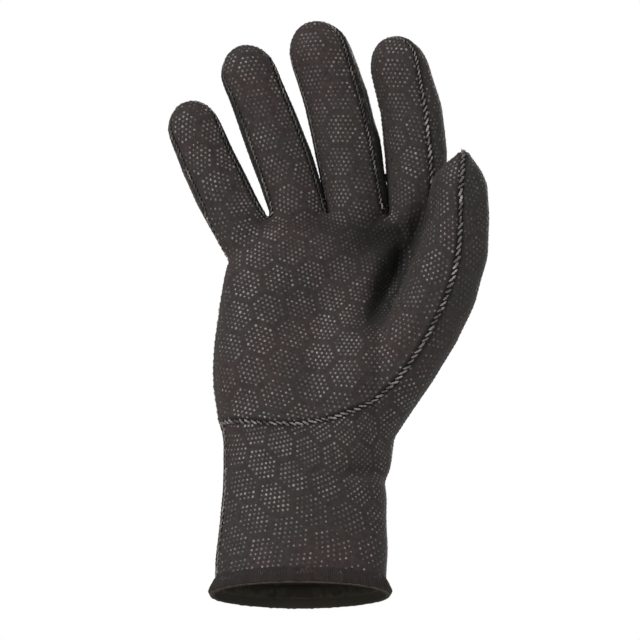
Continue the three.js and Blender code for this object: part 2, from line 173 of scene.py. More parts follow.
def mesh_from(name, points, faces):
    """A new mesh from points and triangles."""
    mesh = bpy.data.meshes.new(name)
    mesh.vertices.add(len(points))
    mesh.vertices.foreach_set("co", points.astype(np.float32).ravel())
    mesh.loops.add(len(faces) * 3)
    mesh.loops.foreach_set("vertex_index", faces.astype(np.int32).ravel())
    mesh.polygons.add(len(faces))
    mesh.polygons.foreach_set("loop_start", np.arange(0, len(faces) * 3, 3, dtype=np.int32))
    mesh.update(calc_edges=True)
    mesh.validate()
    return mesh


def only(piece):
    """Makes a piece the only one selected, and the active one."""
    bpy.ops.object.select_all(action="DESELECT")
    piece.select_set(True)
    bpy.context.view_layer.objects.active = piece


print("faces in CAD:", {name: len(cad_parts[name].data.polygons) for name in PANELS})

# %% [markdown]
# The CAD panels stand 0.3 mm apart, where the real ones are glued edge to edge. Each point that faces
# another panel across such a slit moves just past its middle, so that the panels overlap a little. A voxel
# remesh then melts them into one even mesh. Its voxels are finer than the gaps between the fingers, which
# must stay open.

# %% Close the seams
SIDE_SEAM_Y = -5.76 * mm  # the cuff's own seam, on the little finger's side
SIDE_SEAM_TOP = 83.3 * mm
SIDE_SEAM_X = -20 * mm
SLIT = 0.45 * mm
OVERLAP = 0.1 * mm
VOXEL = 0.55 * mm


def merged_copy(node):
    """One CAD node's points and triangles, with its loose triangles joined up."""
    copy = bmesh.new()
    copy.from_mesh(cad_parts[node].data)
    bmesh.ops.remove_doubles(copy, verts=copy.verts, dist=0.001 * mm)
    mesh = bpy.data.meshes.new(node)
    copy.to_mesh(mesh)
    copy.free()
    return points_of(mesh), triangles_of(mesh)


cad = {name: merged_copy(name) for name in PANELS}


def closed_up(name):
    """A panel's points, moved across the slits round it."""
    others = [cad[other] for other in PANELS if other != name]
    starts = np.cumsum([0] + [len(points) for points, _ in others[:-1]])
    tree = BVHTree.FromPolygons(
        np.concatenate([points for points, _ in others]).tolist(),
        np.concatenate([faces + start for (_, faces), start in zip(others, starts)]).tolist())
    points = cad[name][0].copy()
    for index, point in enumerate(points):
        place, _, _, gap = tree.find_nearest(Vector(point), SLIT)
        if place is not None and gap > 1e-7:
            points[index] += (np.array(place) - point) * (gap / 2 + OVERLAP) / gap
    off = points[:, 1] - SIDE_SEAM_Y
    facing = (np.abs(off) < SLIT) & (points[:, 0] < SIDE_SEAM_X) & (points[:, 2] < SIDE_SEAM_TOP + SLIT)
    if name == "back_panel":
        points[facing, 1] -= off[facing] + np.sign(off[facing]) * OVERLAP
    return points


closed = [closed_up(name) for name in PANELS]
starts = np.cumsum([0] + [len(points) for points in closed[:-1]])
cad_faces = np.concatenate([cad[name][1] + start for name, start in zip(PANELS, starts)])
soup = mesh_from("glove_skin", np.concatenate(closed), cad_faces)
skin = bpy.data.objects.new("glove_skin", soup)
bpy.context.scene.collection.objects.link(skin)
only(skin)
remesh = skin.modifiers.new("one_skin", "REMESH")
remesh.mode = "VOXEL"
remesh.voxel_size = VOXEL
bpy.ops.object.modifier_apply(modifier=remesh.name)
print("one skin of", len(skin.data.polygons), "faces")

# %% [markdown]
# The skin is cut near the cuff's mouth, where the tape will hide it, so that its outside and its inside
# come apart. Only the outside is kept: the sheet's thickness comes back later, as a wall of the real 3 mm.
# The flat facets of the CAD model melt away by averaging each point with its neighbours, which also shrinks
# the form a little, so it is pushed out again afterwards.

# %% Keep the outside and soften it
MOUTH_CUT = 4.2 * mm
MOUTH_LEAN = 0.06  # the mouth is higher in front than behind
HELD_BAND = 8 * mm  # below this height the skin isn't smoothed, so that its edge stays where it is
SOFTEN_ROUNDS = 90
SWELL = 0.3 * mm


def normals_of(points, faces):
    """The way out of a surface at each of its points."""
    a, b, c = (points[faces[:, k]] for k in range(3))
    face_ways = np.cross(b - a, c - a)
    ways = np.stack([
        sum(np.bincount(faces[:, k], face_ways[:, axis], len(points)) for k in range(3)) for axis in range(3)
    ], axis=1)
    return ways / np.maximum(np.linalg.norm(ways, axis=1), 1e-12)[:, None]


def sides_of(faces):
    """The three sides of every triangle, as rows of a lower and a higher point number."""
    sides = np.concatenate([faces[:, [0, 1]], faces[:, [1, 2]], faces[:, [2, 0]]])
    return np.sort(sides, axis=1).astype(np.int64)


def edges_of(faces):
    """The edges of triangles, once each, as rows of two point numbers."""
    sides = sides_of(faces)
    count = int(faces.max()) + 1
    keys = np.unique(sides[:, 0] * count + sides[:, 1])
    return np.stack([keys // count, keys % count], axis=1)


bpy.ops.object.mode_set(mode="EDIT")
bpy.ops.mesh.select_all(action="SELECT")
bpy.ops.mesh.bisect(plane_co=(0, 0, MOUTH_CUT), plane_no=(0, MOUTH_LEAN, 1), clear_inner=True)
bpy.ops.mesh.separate(type="LOOSE")
bpy.ops.object.mode_set(mode="OBJECT")
parts = sorted(bpy.context.selected_objects, key=lambda part: part.dimensions.x * part.dimensions.y)
skin = parts.pop()
for part in parts:
    bpy.data.objects.remove(part)
only(skin)
points = points_of(skin.data)
free = skin.vertex_groups.new(name="free")
free.add(np.flatnonzero(points[:, 2] > HELD_BAND).tolist(), 1.0, "REPLACE")
soften = skin.modifiers.new("soften", "SMOOTH")
soften.factor = 0.5
soften.iterations = SOFTEN_ROUNDS
soften.vertex_group = free.name
bpy.ops.object.modifier_apply(modifier=soften.name)
skin_points = points_of(skin.data)
skin_faces = triangles_of(skin.data)
skin_edges = edges_of(skin_faces)
skin_points += SWELL * normals_of(skin_points, skin_faces) * (skin_points[:, 2] > HELD_BAND)[:, None]
print("the outside has", len(skin_faces), "triangles")

# %% [markdown]
# Each point of the skin belongs to the panel that lies nearest to it in CAD. The borders between panels
# come out ragged, so each panel's share is averaged over the neighbourhood first, and the largest share
# wins. A border is then a smooth line along the surface, and that line is the seam.

# %% Find the panels
BACK = PANELS.index("back_panel")
BORDER_ROUNDS = 14
LAST_ROUNDS = 3
SMALL_PATCH = 2500  # points; a patch smaller than this is a stray, and goes to the panel round it


def smoothed(values, edges, rounds, share=0.5):
    """Values at points, averaged with their neighbours' again and again."""
    values = values.copy()
    count = np.bincount(edges.ravel(), minlength=len(values))
    for _ in range(rounds):
        for axis in range(values.shape[1]):
            column = values[:, axis]
            around = np.bincount(edges[:, 0], column[edges[:, 1]], len(column))
            around += np.bincount(edges[:, 1], column[edges[:, 0]], len(column))
            values[:, axis] = column + share * (around / count - column)
    return values


def strays(owner):
    """The points in small patches, cut off from the rest of their panel."""
    inside = skin_edges[owner[skin_edges[:, 0]] == owner[skin_edges[:, 1]]]
    patch = np.arange(len(owner))
    while True:
        lowest = np.minimum(patch[inside[:, 0]], patch[inside[:, 1]])
        joined = patch.copy()
        np.minimum.at(joined, inside[:, 0], lowest)
        np.minimum.at(joined, inside[:, 1], lowest)
        joined = joined[joined[joined]]
        if (joined == patch).all():
            return np.bincount(patch, minlength=len(patch))[patch] < SMALL_PATCH
        patch = joined


cad_points = np.concatenate([cad[name][0] for name in PANELS])
panel_tree = BVHTree.FromPolygons(cad_points.tolist(), cad_faces.tolist())
panel_of_face = np.repeat(np.arange(len(PANELS)), [len(cad[name][1]) for name in PANELS])
nearest = np.array([panel_of_face[panel_tree.find_nearest(Vector(point))[2]] for point in skin_points])
CUFF_FRONT = len(PANELS)  # the part of the back panel that is in front of the cuff's side seam, for now
front_of_cuff = (nearest == BACK) & (skin_points[:, 1] < SIDE_SEAM_Y) & (skin_points[:, 0] < 0)
nearest[front_of_cuff & (skin_points[:, 2] < SIDE_SEAM_TOP)] = CUFF_FRONT
shares = np.eye(CUFF_FRONT + 1)[nearest]
shares[strays(nearest)] = 0
shares = smoothed(shares, skin_edges, BORDER_ROUNDS)
shares[strays(shares.argmax(1))] = 0
shares = smoothed(shares, skin_edges, LAST_ROUNDS)
print("points in each panel:", np.bincount(shares.argmax(1)))

# %% [markdown]
# The borders between panels are the edges of the mesh at which two owners meet. All of them are sewn but
# one: the helper line down the front of the cuff, which only tells the two edges of the cuff's own seam
# apart.

# %% Find the borders
skin_tree = BVHTree.FromPolygons(skin_points.tolist(), skin_faces.tolist())
skin_ways = normals_of(skin_points, skin_faces)


def border_edges(faces, owner):
    """The edges where faces of two owners meet, with the lower and the higher owner's number."""
    sides = sides_of(faces)
    owners = np.tile(owner, 3)
    key = sides[:, 0] * (faces.max() + 1) + sides[:, 1]
    order = np.argsort(key, kind="stable")
    key, sides, owners = key[order], sides[order], owners[order]
    twin = np.flatnonzero((key[1:] == key[:-1]) & (owners[1:] != owners[:-1]))
    pair = np.sort(np.stack([owners[twin], owners[twin + 1]], axis=1), axis=1)
    return sides[twin], pair


def is_seam(edges, pair, points):
    """True where a border is sewn: all of them but the helper line down the front of the cuff."""
    one_sheet = (pair[:, 0] == BACK) & (pair[:, 1] == CUFF_FRONT)
    return ~(one_sheet & (points[edges].mean(1)[:, 0] > SIDE_SEAM_X))


face_owner = shares[skin_faces].sum(1).argmax(1)
sewn, sewn_pair = border_edges(skin_faces, face_owner)
sewn = sewn[is_seam(sewn, sewn_pair, skin_points)]
print(len(sewn), "edges lie on a seam")

# %% [markdown]
# The edges are linked into lines, from one meeting of three panels to the next. Such a line zigzags along
# the mesh, so it is eased like a wire and laid back on the skin. These lines guide all that follows: the
# groove between the panels, the stitches, and where the printed dots stop.

# %% Trace the seams
SEAM_STEP = 0.3 * mm
EASE_ROUNDS = 40
SHORTEST_SEAM = 5 * mm


def chains_of(edges):
    """Edges linked end to end into lists of points, broken where more than two meet."""
    links = {}
    for a, b in edges.tolist():
        links.setdefault(a, []).append(b)
        links.setdefault(b, []).append(a)
    unused = {frozenset(edge) for edge in edges.tolist()}
    ends = [point for point, near in links.items() if len(near) != 2]
    chains = []
    for start in ends + list(links):
        for step in links[start]:
            if frozenset((start, step)) not in unused:
                continue
            chain = [start, step]
            unused.discard(frozenset(chain))
            while len(links[chain[-1]]) == 2 and chain[-1] != start:
                after = [p for p in links[chain[-1]] if frozenset((chain[-1], p)) in unused]
                if not after:
                    break
                unused.discard(frozenset((chain[-1], after[0])))
                chain.append(after[0])
            chains.append(chain)
    return chains


def eased(line, rounds):
    """A line's points, each averaged with its neighbours. Its ends stay."""
    line = line.copy()
    for _ in range(rounds):
        line[1:-1] += 0.5 * ((line[:-2] + line[2:]) / 2 - line[1:-1])
    return line


def evenly(line, step):
    """A line's points, spaced evenly along it."""
    length = np.concatenate([[0], np.cumsum(np.linalg.norm(np.diff(line, axis=0), axis=1))])
    count = max(2, int(round(length[-1] / step)) + 1)
    at = np.linspace(0, length[-1], count)
    return np.stack([np.interp(at, length, line[:, axis]) for axis in range(3)], axis=1)


def laid_on_skin(line):
    """A line's points moved to the skin."""
    return np.array([skin_tree.find_nearest(Vector(point))[0] for point in line])


seams = []
for chain in chains_of(sewn):
    line = evenly(eased(skin_points[chain], EASE_ROUNDS), SEAM_STEP)
    if len(line) * SEAM_STEP > SHORTEST_SEAM:
        seams.append(laid_on_skin(line))
print(len(seams), "seams, in mm:", sorted(round(len(line) * SEAM_STEP / mm) for line in seams))

# %% [markdown]
# Much of what follows asks how far a point lies from the nearest seam: the groove, the painted shade along
# it, and the strip without dots. A tree of all the seams' points answers that quickly.

# %% Measure from the seams
seam_points = np.concatenate(seams)
seam_ways = np.concatenate([np.gradient(line, axis=0) for line in seams])
seam_ways /= np.linalg.norm(seam_ways, axis=1)[:, None]
seam_finder = KDTree(len(seam_points))
for index, point in enumerate(seam_points):
    seam_finder.insert(point, index)
seam_finder.balance()


def to_seam(points):
    """Each point's distance to the nearest seam, and that seam point's number."""
    found = [seam_finder.find(point)[1:] for point in points]
    return np.array([gap for _, gap in found]), np.array([index for index, _ in found])


seam_gap, _ = to_seam(skin_points)
print("the skin reaches", round(seam_gap.max() / mm), "mm from the nearest seam")

# %% [markdown]
# The palm folds where the hand bends, and between palm and thumb it sinks into a deep hollow that light
# hardly reaches. The deep dents are also painted darker, as shade and grime together. Each fold or dent is
# a soft ridge or trough with its own place, slant and size.

# %% Folds and dents
FOLDS = [  # x and z on the palm's side, slant in degrees, length, width, height; a dent is below zero
    (22, 174, -6, 46, 5.0, -1.5), (22, 162, -2, 40, 5.0, 0.5), (-22, 168, 12, 14, 3.5, -0.5),
    (47.5, 157, 65, 48, 6.0, -8.0), (38, 168, 22, 36, 7.5, -3.6), (37, 132, 56, 30, 7.0, -2.0),
    (6, 140, 10, 34, 9.0, -0.6), (6, 176, -3, 60, 4.5, -1.0), (16, 158, 4, 40, 4.0, 0.5),
    (30, 57, 18, 20, 3.0, -1.6), (32, 50, 14, 18, 3.5, 1.0), (26, 64, 24, 18, 4.0, 0.7),
    (-28, 92, -14, 16, 5.0, -0.4), (-30, 60, 8, 14, 6.0, 0.35), (0, 100, 6, 26, 7.0, 0.4),
    (-8, 205, 20, 7, 3.0, -0.35), (31, 212, -8, 8, 3.0, -0.35), (-36, 200, 35, 7, 3.0, -0.3),
    (60, 120, 70, 16, 5.0, -0.35), (68, 140, 80, 14, 4.0, -0.3),
]
SHADE_AND_DIRT_DEPTH = 4 * mm


def bell(distance, width):
    """A smooth hump: 1 at no distance, near 0 at twice the width."""
    return np.exp(-(distance / width) ** 2)


def folded(points, ways):
    """The folds' and dents' height, on the palm's side only."""
    height = np.zeros(len(points))
    palm_side = np.clip(-1.6 * ways[:, 1], 0, 1)
    for x, z, slant, length, width, lift in FOLDS:
        c, s = math.cos(math.radians(slant)), math.sin(math.radians(slant))
        off_x, off_z = points[:, 0] - x * mm, points[:, 2] - z * mm
        along, across = off_x * c + off_z * s, off_z * c - off_x * s
        height += lift * mm * palm_side * bell(along, length * mm / 2) * bell(across, width * mm)
    return height


def shade_and_dirt_in_dents(points, ways):
    """How much painted shade and grime a deep dent gets, from 0 to 1."""
    return np.clip(-folded(points, ways) / SHADE_AND_DIRT_DEPTH, 0, 1)


folds = folded(skin_points, skin_ways)
print("the deepest dent is", round(-folds.min() / mm, 1), "mm deep")

# %% [markdown]
# A seam in thick foam rubber pulls the sheet down along a narrow groove and lets it puff up on both sides.
# The sheet is also slowly uneven all over, and the strips between the index and the middle finger bulge
# towards each other. All of this is moved into the mesh itself, along the way out of the surface.

# %% Grooves and unevenness
GROOVE = 0.85 * mm
GROOVE_WIDTH = 0.85 * mm
PUFF = 0.45 * mm
PUFF_PLACE = 2.6 * mm
PUFF_WIDTH = 1.3 * mm
TIGHT_SLIT = (40.7, 194)  # x and z where the index and the middle finger come closest
TIGHT_SIZE = (5 * mm, 9 * mm)
TIGHTEN = 0.8 * mm
UNEVEN_WAVES = 14
UNEVEN_HEIGHT = 0.22 * mm
CALM_BAND = 6 * mm  # over this height the relief fades in from the held band upwards
random = np.random.default_rng(7)


def unevenness(points):
    """Slow waves in seeded directions, added up."""
    height = np.zeros(len(points))
    for _ in range(UNEVEN_WAVES):
        way = random.normal(size=3)
        way /= np.linalg.norm(way)
        length = random.uniform(14, 45) * mm
        height += length * np.sin(points @ way * (2 * math.pi / length) + random.uniform(0, 2 * math.pi))
    return height / (math.sqrt(UNEVEN_WAVES) * 30 * mm)


height = -GROOVE * bell(seam_gap, GROOVE_WIDTH) + PUFF * bell(seam_gap - PUFF_PLACE, PUFF_WIDTH)
height += folds + UNEVEN_HEIGHT * unevenness(skin_points)
off_x, off_z = skin_points[:, 0] - TIGHT_SLIT[0] * mm, skin_points[:, 2] - TIGHT_SLIT[1] * mm
height += TIGHTEN * bell(off_x, TIGHT_SIZE[0]) * bell(off_z, TIGHT_SIZE[1]) * np.abs(skin_ways[:, 0])
calm = np.clip((skin_points[:, 2] - HELD_BAND) / CALM_BAND, 0, 1)
relief_points = skin_points + (height * calm)[:, None] * skin_ways
print("the relief runs from", round(height.min() / mm, 1), "to", round(height.max() / mm, 1), "mm")

# %% [markdown]
# Six hundred thousand even triangles are more than the form needs. Decimate merges them where the surface
# is calm and leaves them small in the grooves.

# %% Thin the mesh
GLOVE_TRIANGLES = 210000
bpy.data.objects.remove(skin)
skin = bpy.data.objects.new("glove_skin", mesh_from("glove_skin", relief_points, skin_faces))
bpy.context.scene.collection.objects.link(skin)
only(skin)
thin = skin.modifiers.new("thin", "DECIMATE")
thin.ratio = GLOVE_TRIANGLES / len(skin_faces)
bpy.ops.object.modifier_apply(modifier=thin.name)
thin_points = points_of(skin.data)
thin_faces = triangles_of(skin.data)
thin_ways = normals_of(thin_points, thin_faces)
print("thinned to", len(thin_faces), "triangles")

# %% [markdown]
# The thinned mesh is parted into the glove's panels. Every point on a border is slid sideways onto the
# traced seam, then drawn back a little into its own panel, so that a fine dark line stays open between two
# panels.

# %% Part the panels
PANEL_GAP = 0.1 * mm
SLIDE_REACH = 1.5 * mm
centres = thin_points[thin_faces].mean(1)
thin_owner = face_owner[[skin_tree.find_nearest(Vector(centre))[2] for centre in centres]]
border, border_pair = border_edges(thin_faces, thin_owner)
border = border[is_seam(border, border_pair, thin_points)]
border_ends = np.unique(border)
gap, nearest_seam = to_seam(thin_points[border_ends])
side = np.cross(thin_ways[border_ends], seam_ways[nearest_seam])
slide = ((seam_points[nearest_seam] - thin_points[border_ends]) * side).sum(1)
thin_points[border_ends] += side * np.where(gap < SLIDE_REACH, slide, 0)[:, None]
seam_keys = set(map(tuple, np.sort(border, axis=1).tolist()))


def panel_piece(name, owners):
    """One panel as an object of its own, split along the seams that lie inside it."""
    faces = thin_faces[np.isin(thin_owner, owners)]
    used, faces = np.unique(faces, return_inverse=True)
    faces = faces.reshape(-1, 3)
    mesh = mesh_from(name, thin_points[used], faces)
    work = bmesh.new()
    work.from_mesh(mesh)
    work.verts.ensure_lookup_table()
    inner = [edge for edge in work.edges if not edge.is_boundary
             and tuple(sorted(int(used[v.index]) for v in edge.verts)) in seam_keys]
    bmesh.ops.split_edges(work, edges=inner)
    inward = {v: sum((e.other_vert(v).co - v.co for e in v.link_edges), Vector()) for v in work.verts
              if v.is_boundary and v.co.z > HELD_BAND}
    for v, way in inward.items():
        v.co += way.normalized() * PANEL_GAP
    work.to_mesh(mesh)
    work.free()
    piece = bpy.data.objects.new(name, mesh)
    bpy.context.scene.collection.objects.link(piece)
    only(piece)
    bpy.ops.object.shade_smooth()
    return piece


OWNERS = {name: [number] for number, name in enumerate(PANELS)}
OWNERS["back_panel"].append(CUFF_FRONT)
sheets = {name: panel_piece(name + "_sheet", OWNERS[name]) for name in PANELS}
bpy.data.objects.remove(skin)
print({name: len(piece.data.polygons) for name, piece in sheets.items()})

# %% [markdown]
# The sheet was printed and knitted while it was flat, so the pattern must be laid out flat too. Each large
# panel is unwrapped: a light copy of its mesh is eased into the plane with as little stretch as possible,
# turned so that up on the glove is up in the plane, and scaled to its real area.

# %% Unwrap the large panels
LIGHT_SHARE = 0.13
UNWRAP_ROUNDS = 60
UPRIGHT = {"palm_panel": (85 * mm, 165 * mm), "back_panel": (15 * mm, 75 * mm)}


def flat_layout(piece, upright):
    """A light copy's points, triangles and flat places in metres. A band of heights sets which way is up."""
    light = piece.copy()
    light.data = piece.data.copy()
    bpy.context.scene.collection.objects.link(light)
    only(light)
    thin = light.modifiers.new("light", "DECIMATE")
    thin.ratio = LIGHT_SHARE
    bpy.ops.object.modifier_apply(modifier=thin.name)
    bpy.ops.object.mode_set(mode="EDIT")
    bpy.ops.mesh.select_all(action="SELECT")
    bpy.ops.uv.unwrap(method="MINIMUM_STRETCH", fill_holes=False, correct_aspect=False,
                      iterations=UNWRAP_ROUNDS,
                      margin=0)
    bpy.ops.object.mode_set(mode="OBJECT")
    mesh = light.data
    points, faces = points_of(mesh), triangles_of(mesh)
    loops = np.empty(len(mesh.loops) * 2, np.float32)
    mesh.uv_layers.active.data.foreach_get("uv", loops)
    corner = np.empty(len(mesh.loops), np.int32)
    mesh.loops.foreach_get("vertex_index", corner)
    flat = np.zeros((len(points), 2))
    flat[corner] = loops.reshape(-1, 2)
    bpy.data.objects.remove(light)
    a, b, c = (points[faces[:, k]] for k in range(3))
    u, v, w = (flat[faces[:, k]] for k in range(3))
    real = np.linalg.norm(np.cross(b - a, c - a), axis=1).sum()
    drawn = np.abs((v - u)[:, 0] * (w - u)[:, 1] - (v - u)[:, 1] * (w - u)[:, 0]).sum()
    flat *= math.sqrt(real / drawn)
    low, high = upright
    band = (points[:, 2] > low) & (points[:, 2] < high)
    slope = np.linalg.lstsq(np.c_[flat[band], np.ones(band.sum())], points[band, 2], rcond=None)[0][:2]
    up = slope / np.linalg.norm(slope)
    flat = flat @ np.array([[up[1], up[0]], [-up[0], up[1]]])
    return points, faces, flat - (flat.min(0) + flat.max(0)) / 2


layouts = {name: flat_layout(sheets[name], band) for name, band in UPRIGHT.items()}
print("unwrapped:", {name: len(faces) for name, (_, faces, _) in layouts.items()}, "triangles")

# %% [markdown]
# A strip between two fingers is simpler. It runs down one finger and up the other, so its length is the
# height above its lowest point, counted below zero on the left finger, and its width is the depth.

# %% Lay out the strips
STRIP_LEAN = 1.06  # the fingers lean, so a strip is longer than it is high


def strip_layout(piece):
    """A strip's own points and triangles, and their flat places in metres."""
    points, faces = points_of(piece.data), triangles_of(piece.data)
    side = -np.clip(3 * normals_of(points, faces)[:, 0], -1, 1)
    along = STRIP_LEAN * side * (points[:, 2] - points[:, 2].min())
    return points, faces, np.stack([points[:, 1], along], axis=1)


layouts.update({name: strip_layout(sheets[name]) for name in PANELS if name not in UPRIGHT})
print(len(layouts) - len(UPRIGHT), "strips laid out")

# %% [markdown]
# Every point of the fine mesh now takes its flat place from the layout, as a share of the three corners
# round it. The places become a UV map, which the knit's pattern follows, and give the size that each panel
# is cut to.

# %% Carry the layout over
FLAT_SHEET = 400 * mm  # one unit of the flat map, which is wider than any panel


def weights_in(point, a, b, c):
    """A point's shares of a triangle's three corners."""
    area = np.cross(b - a, c - a)
    size = max(area @ area, 1e-24)
    first = np.cross(b - point, c - point) @ area / size
    second = np.cross(c - point, a - point) @ area / size
    return np.array([first, second, 1 - first - second])


cuts, areas = {}, {}
for name, piece in sheets.items():
    points, faces, flat = layouts[name]
    tree = BVHTree.FromPolygons(points.tolist(), faces.tolist())
    fine = points_of(piece.data)
    fine_flat = np.empty((len(fine), 2))
    for index, point in enumerate(fine):
        place, _, face, _ = tree.find_nearest(Vector(point))
        corners = faces[face]
        fine_flat[index] = weights_in(np.array(place), *points[corners]) @ flat[corners]
    corner = np.empty(len(piece.data.loops), np.int32)
    piece.data.loops.foreach_get("vertex_index", corner)
    layer = piece.data.uv_layers.new(name="flat")
    layer.data.foreach_set("uv", (fine_flat[corner] / FLAT_SHEET + 0.5).astype(np.float32).ravel())
    a, b, c = (points[faces[:, k]] for k in range(3))
    areas[name] = float(np.linalg.norm(np.cross(b - a, c - a), axis=1).sum() / 2)
    cuts[name] = [float(side) for side in flat.max(0) - flat.min(0)]
    print(name, "is cut to", [round(side / mm) for side in cuts[name]], "mm,",
          round(areas[name] * 1e4), "cm2")

# %% [markdown]
# The grip pattern is printed rubber: low round dots in rows, 37 to a hexagon, with one row left out between
# hexagons. One dot is modelled, as a cone with its tip cut off and its shading smooth. Only its top is pale:
# the slope round it is dark, as painted shade round the dot.

# %% Model one dot
DOT_RADIUS = 0.3 * mm
DOT_SKIRT = 0.8 * mm
DOT_HEIGHT = 0.17 * mm
bpy.ops.object.select_all(action="DESELECT")
bpy.ops.mesh.primitive_cone_add(vertices=6, radius1=DOT_SKIRT, radius2=DOT_RADIUS, depth=DOT_HEIGHT,
                                end_fill_type="NOTHING", location=(0, 0, DOT_HEIGHT / 2))
dot = bpy.context.object
bpy.ops.object.transform_apply(location=True, rotation=False, scale=False)
bpy.ops.object.mode_set(mode="EDIT")
bpy.ops.mesh.select_all(action="DESELECT")
bpy.ops.object.mode_set(mode="OBJECT")
for vertex in dot.data.vertices:
    vertex.select = vertex.co.z > DOT_HEIGHT / 2
bpy.ops.object.mode_set(mode="EDIT")
bpy.ops.mesh.select_mode(type="VERT")
bpy.ops.mesh.edge_face_add()
bpy.ops.mesh.select_all(action="SELECT")
bpy.ops.mesh.normals_make_consistent(inside=False)
bpy.ops.object.mode_set(mode="OBJECT")
dot_points, dot_faces = points_of(dot.data), triangles_of(dot.data)
bpy.data.objects.remove(dot)
print("a dot has", len(dot_faces), "triangles")

# %% [markdown]
# The pattern's places are worked out in the plane: hexagons of dots in rows, and rows of hexagons. The cuff
# is stretched sideways, and its print with it, so the back panel's pattern is drawn wider.

# %% Lay out the grip pattern
DOT_PITCH = 2.12 * mm  # between dots in a row
ROW_PITCH = DOT_PITCH * math.sqrt(3) / 2
CELL_ROWS = 4  # a hexagon's dots reach three rows out from its centre, and the fourth is the bare line
PATTERN_WIDE = {"back_panel": 1.2}


def pattern_places(low, high, wide):
    """The dots' places in the plane between two corners."""
    reach = range(1 - CELL_ROWS, CELL_ROWS)
    hexagon = [(wide * DOT_PITCH * (i + j / 2), ROW_PITCH * j) for i in reach for j in reach
               if abs(i + j) < CELL_ROWS]
    column = np.array([wide * 1.5 * DOT_PITCH * CELL_ROWS, ROW_PITCH * CELL_ROWS])
    row = np.array([0, 2 * ROW_PITCH * CELL_ROWS])
    span = int(np.max(high - low) / np.min([column[0], row[1]])) + 2
    centres = [i * column + j * row for i in range(-span, span + 1) for j in range(-2 * span, 2 * span + 1)]
    places = (np.array(centres)[:, None, :] + np.array(hexagon)[None, :, :]).reshape(-1, 2)
    places += (low + high) / 2
    return places[((places > low) & (places < high)).all(1)]


flat = layouts["palm_panel"][2]
print(len(pattern_places(flat.min(0), flat.max(0), 1)), "places in the palm's rectangle")

# %% [markdown]
# A copy of the dot goes to each place, carried from the plane over to the glove and stood on the sheet.
# Dots differ a little in size and tone. The print has worn off on the strips, on the thumb's outside and
# round the fingers' sides, so it is fainter there. In the deep hollow the dots are darkened too, as painted
# shade and grime.

# %% Print the grip pattern
BARE_SEAM = 1.5 * mm  # no dots this near to a seam
BARE_EDGE = 8.5 * mm  # nor below this height, where the tape is
SHEET_REACH = 0.05 * mm  # a place further than this from the flat panel is off its edge
DOT_SINK = 0.03 * mm
THUMB_X = 58 * mm  # the thumb lies beyond this


def mark(mesh, name, values):
    """Gives a mesh's points a named value each, for a material to read."""
    mesh.attributes.new(name, "FLOAT", "POINT").data.foreach_set("value", np.asarray(values, np.float32))


def copies(points, faces, places, across, along, out):
    """A small mesh copied to every place and turned to its axes, as one mesh's points and faces."""
    turned = (places[:, None, :] + points[None, :, 0:1] * across[:, None, :]
              + points[None, :, 1:2] * along[:, None, :] + points[None, :, 2:3] * out[:, None, :])
    starts = np.arange(len(places)) * len(points)
    return turned.reshape(-1, 3), (faces[None, :, :] + starts[:, None, None]).reshape(-1, 3)


def faint(name, places, out):
    """How much fainter the print is at each place, from 0 to 1: worn off, and darkened in the deep dents as
    painted shade and grime.
    """
    if "fourchette" in name:
        return np.full(len(places), 0.7)
    outer_thumb = np.clip((places[:, 0] - THUMB_X) / (10 * mm), 0, 1) if name == "back_panel" else 0
    worn = np.maximum(0.5 * outer_thumb, 0.5 * np.clip(1.6 * np.abs(out[:, 0]) - 0.9, 0, 1))
    # In the deep dents the dots are darkened too, as painted shade and grime.
    return np.maximum(worn, 0.8 * shade_and_dirt_in_dents(places, out))


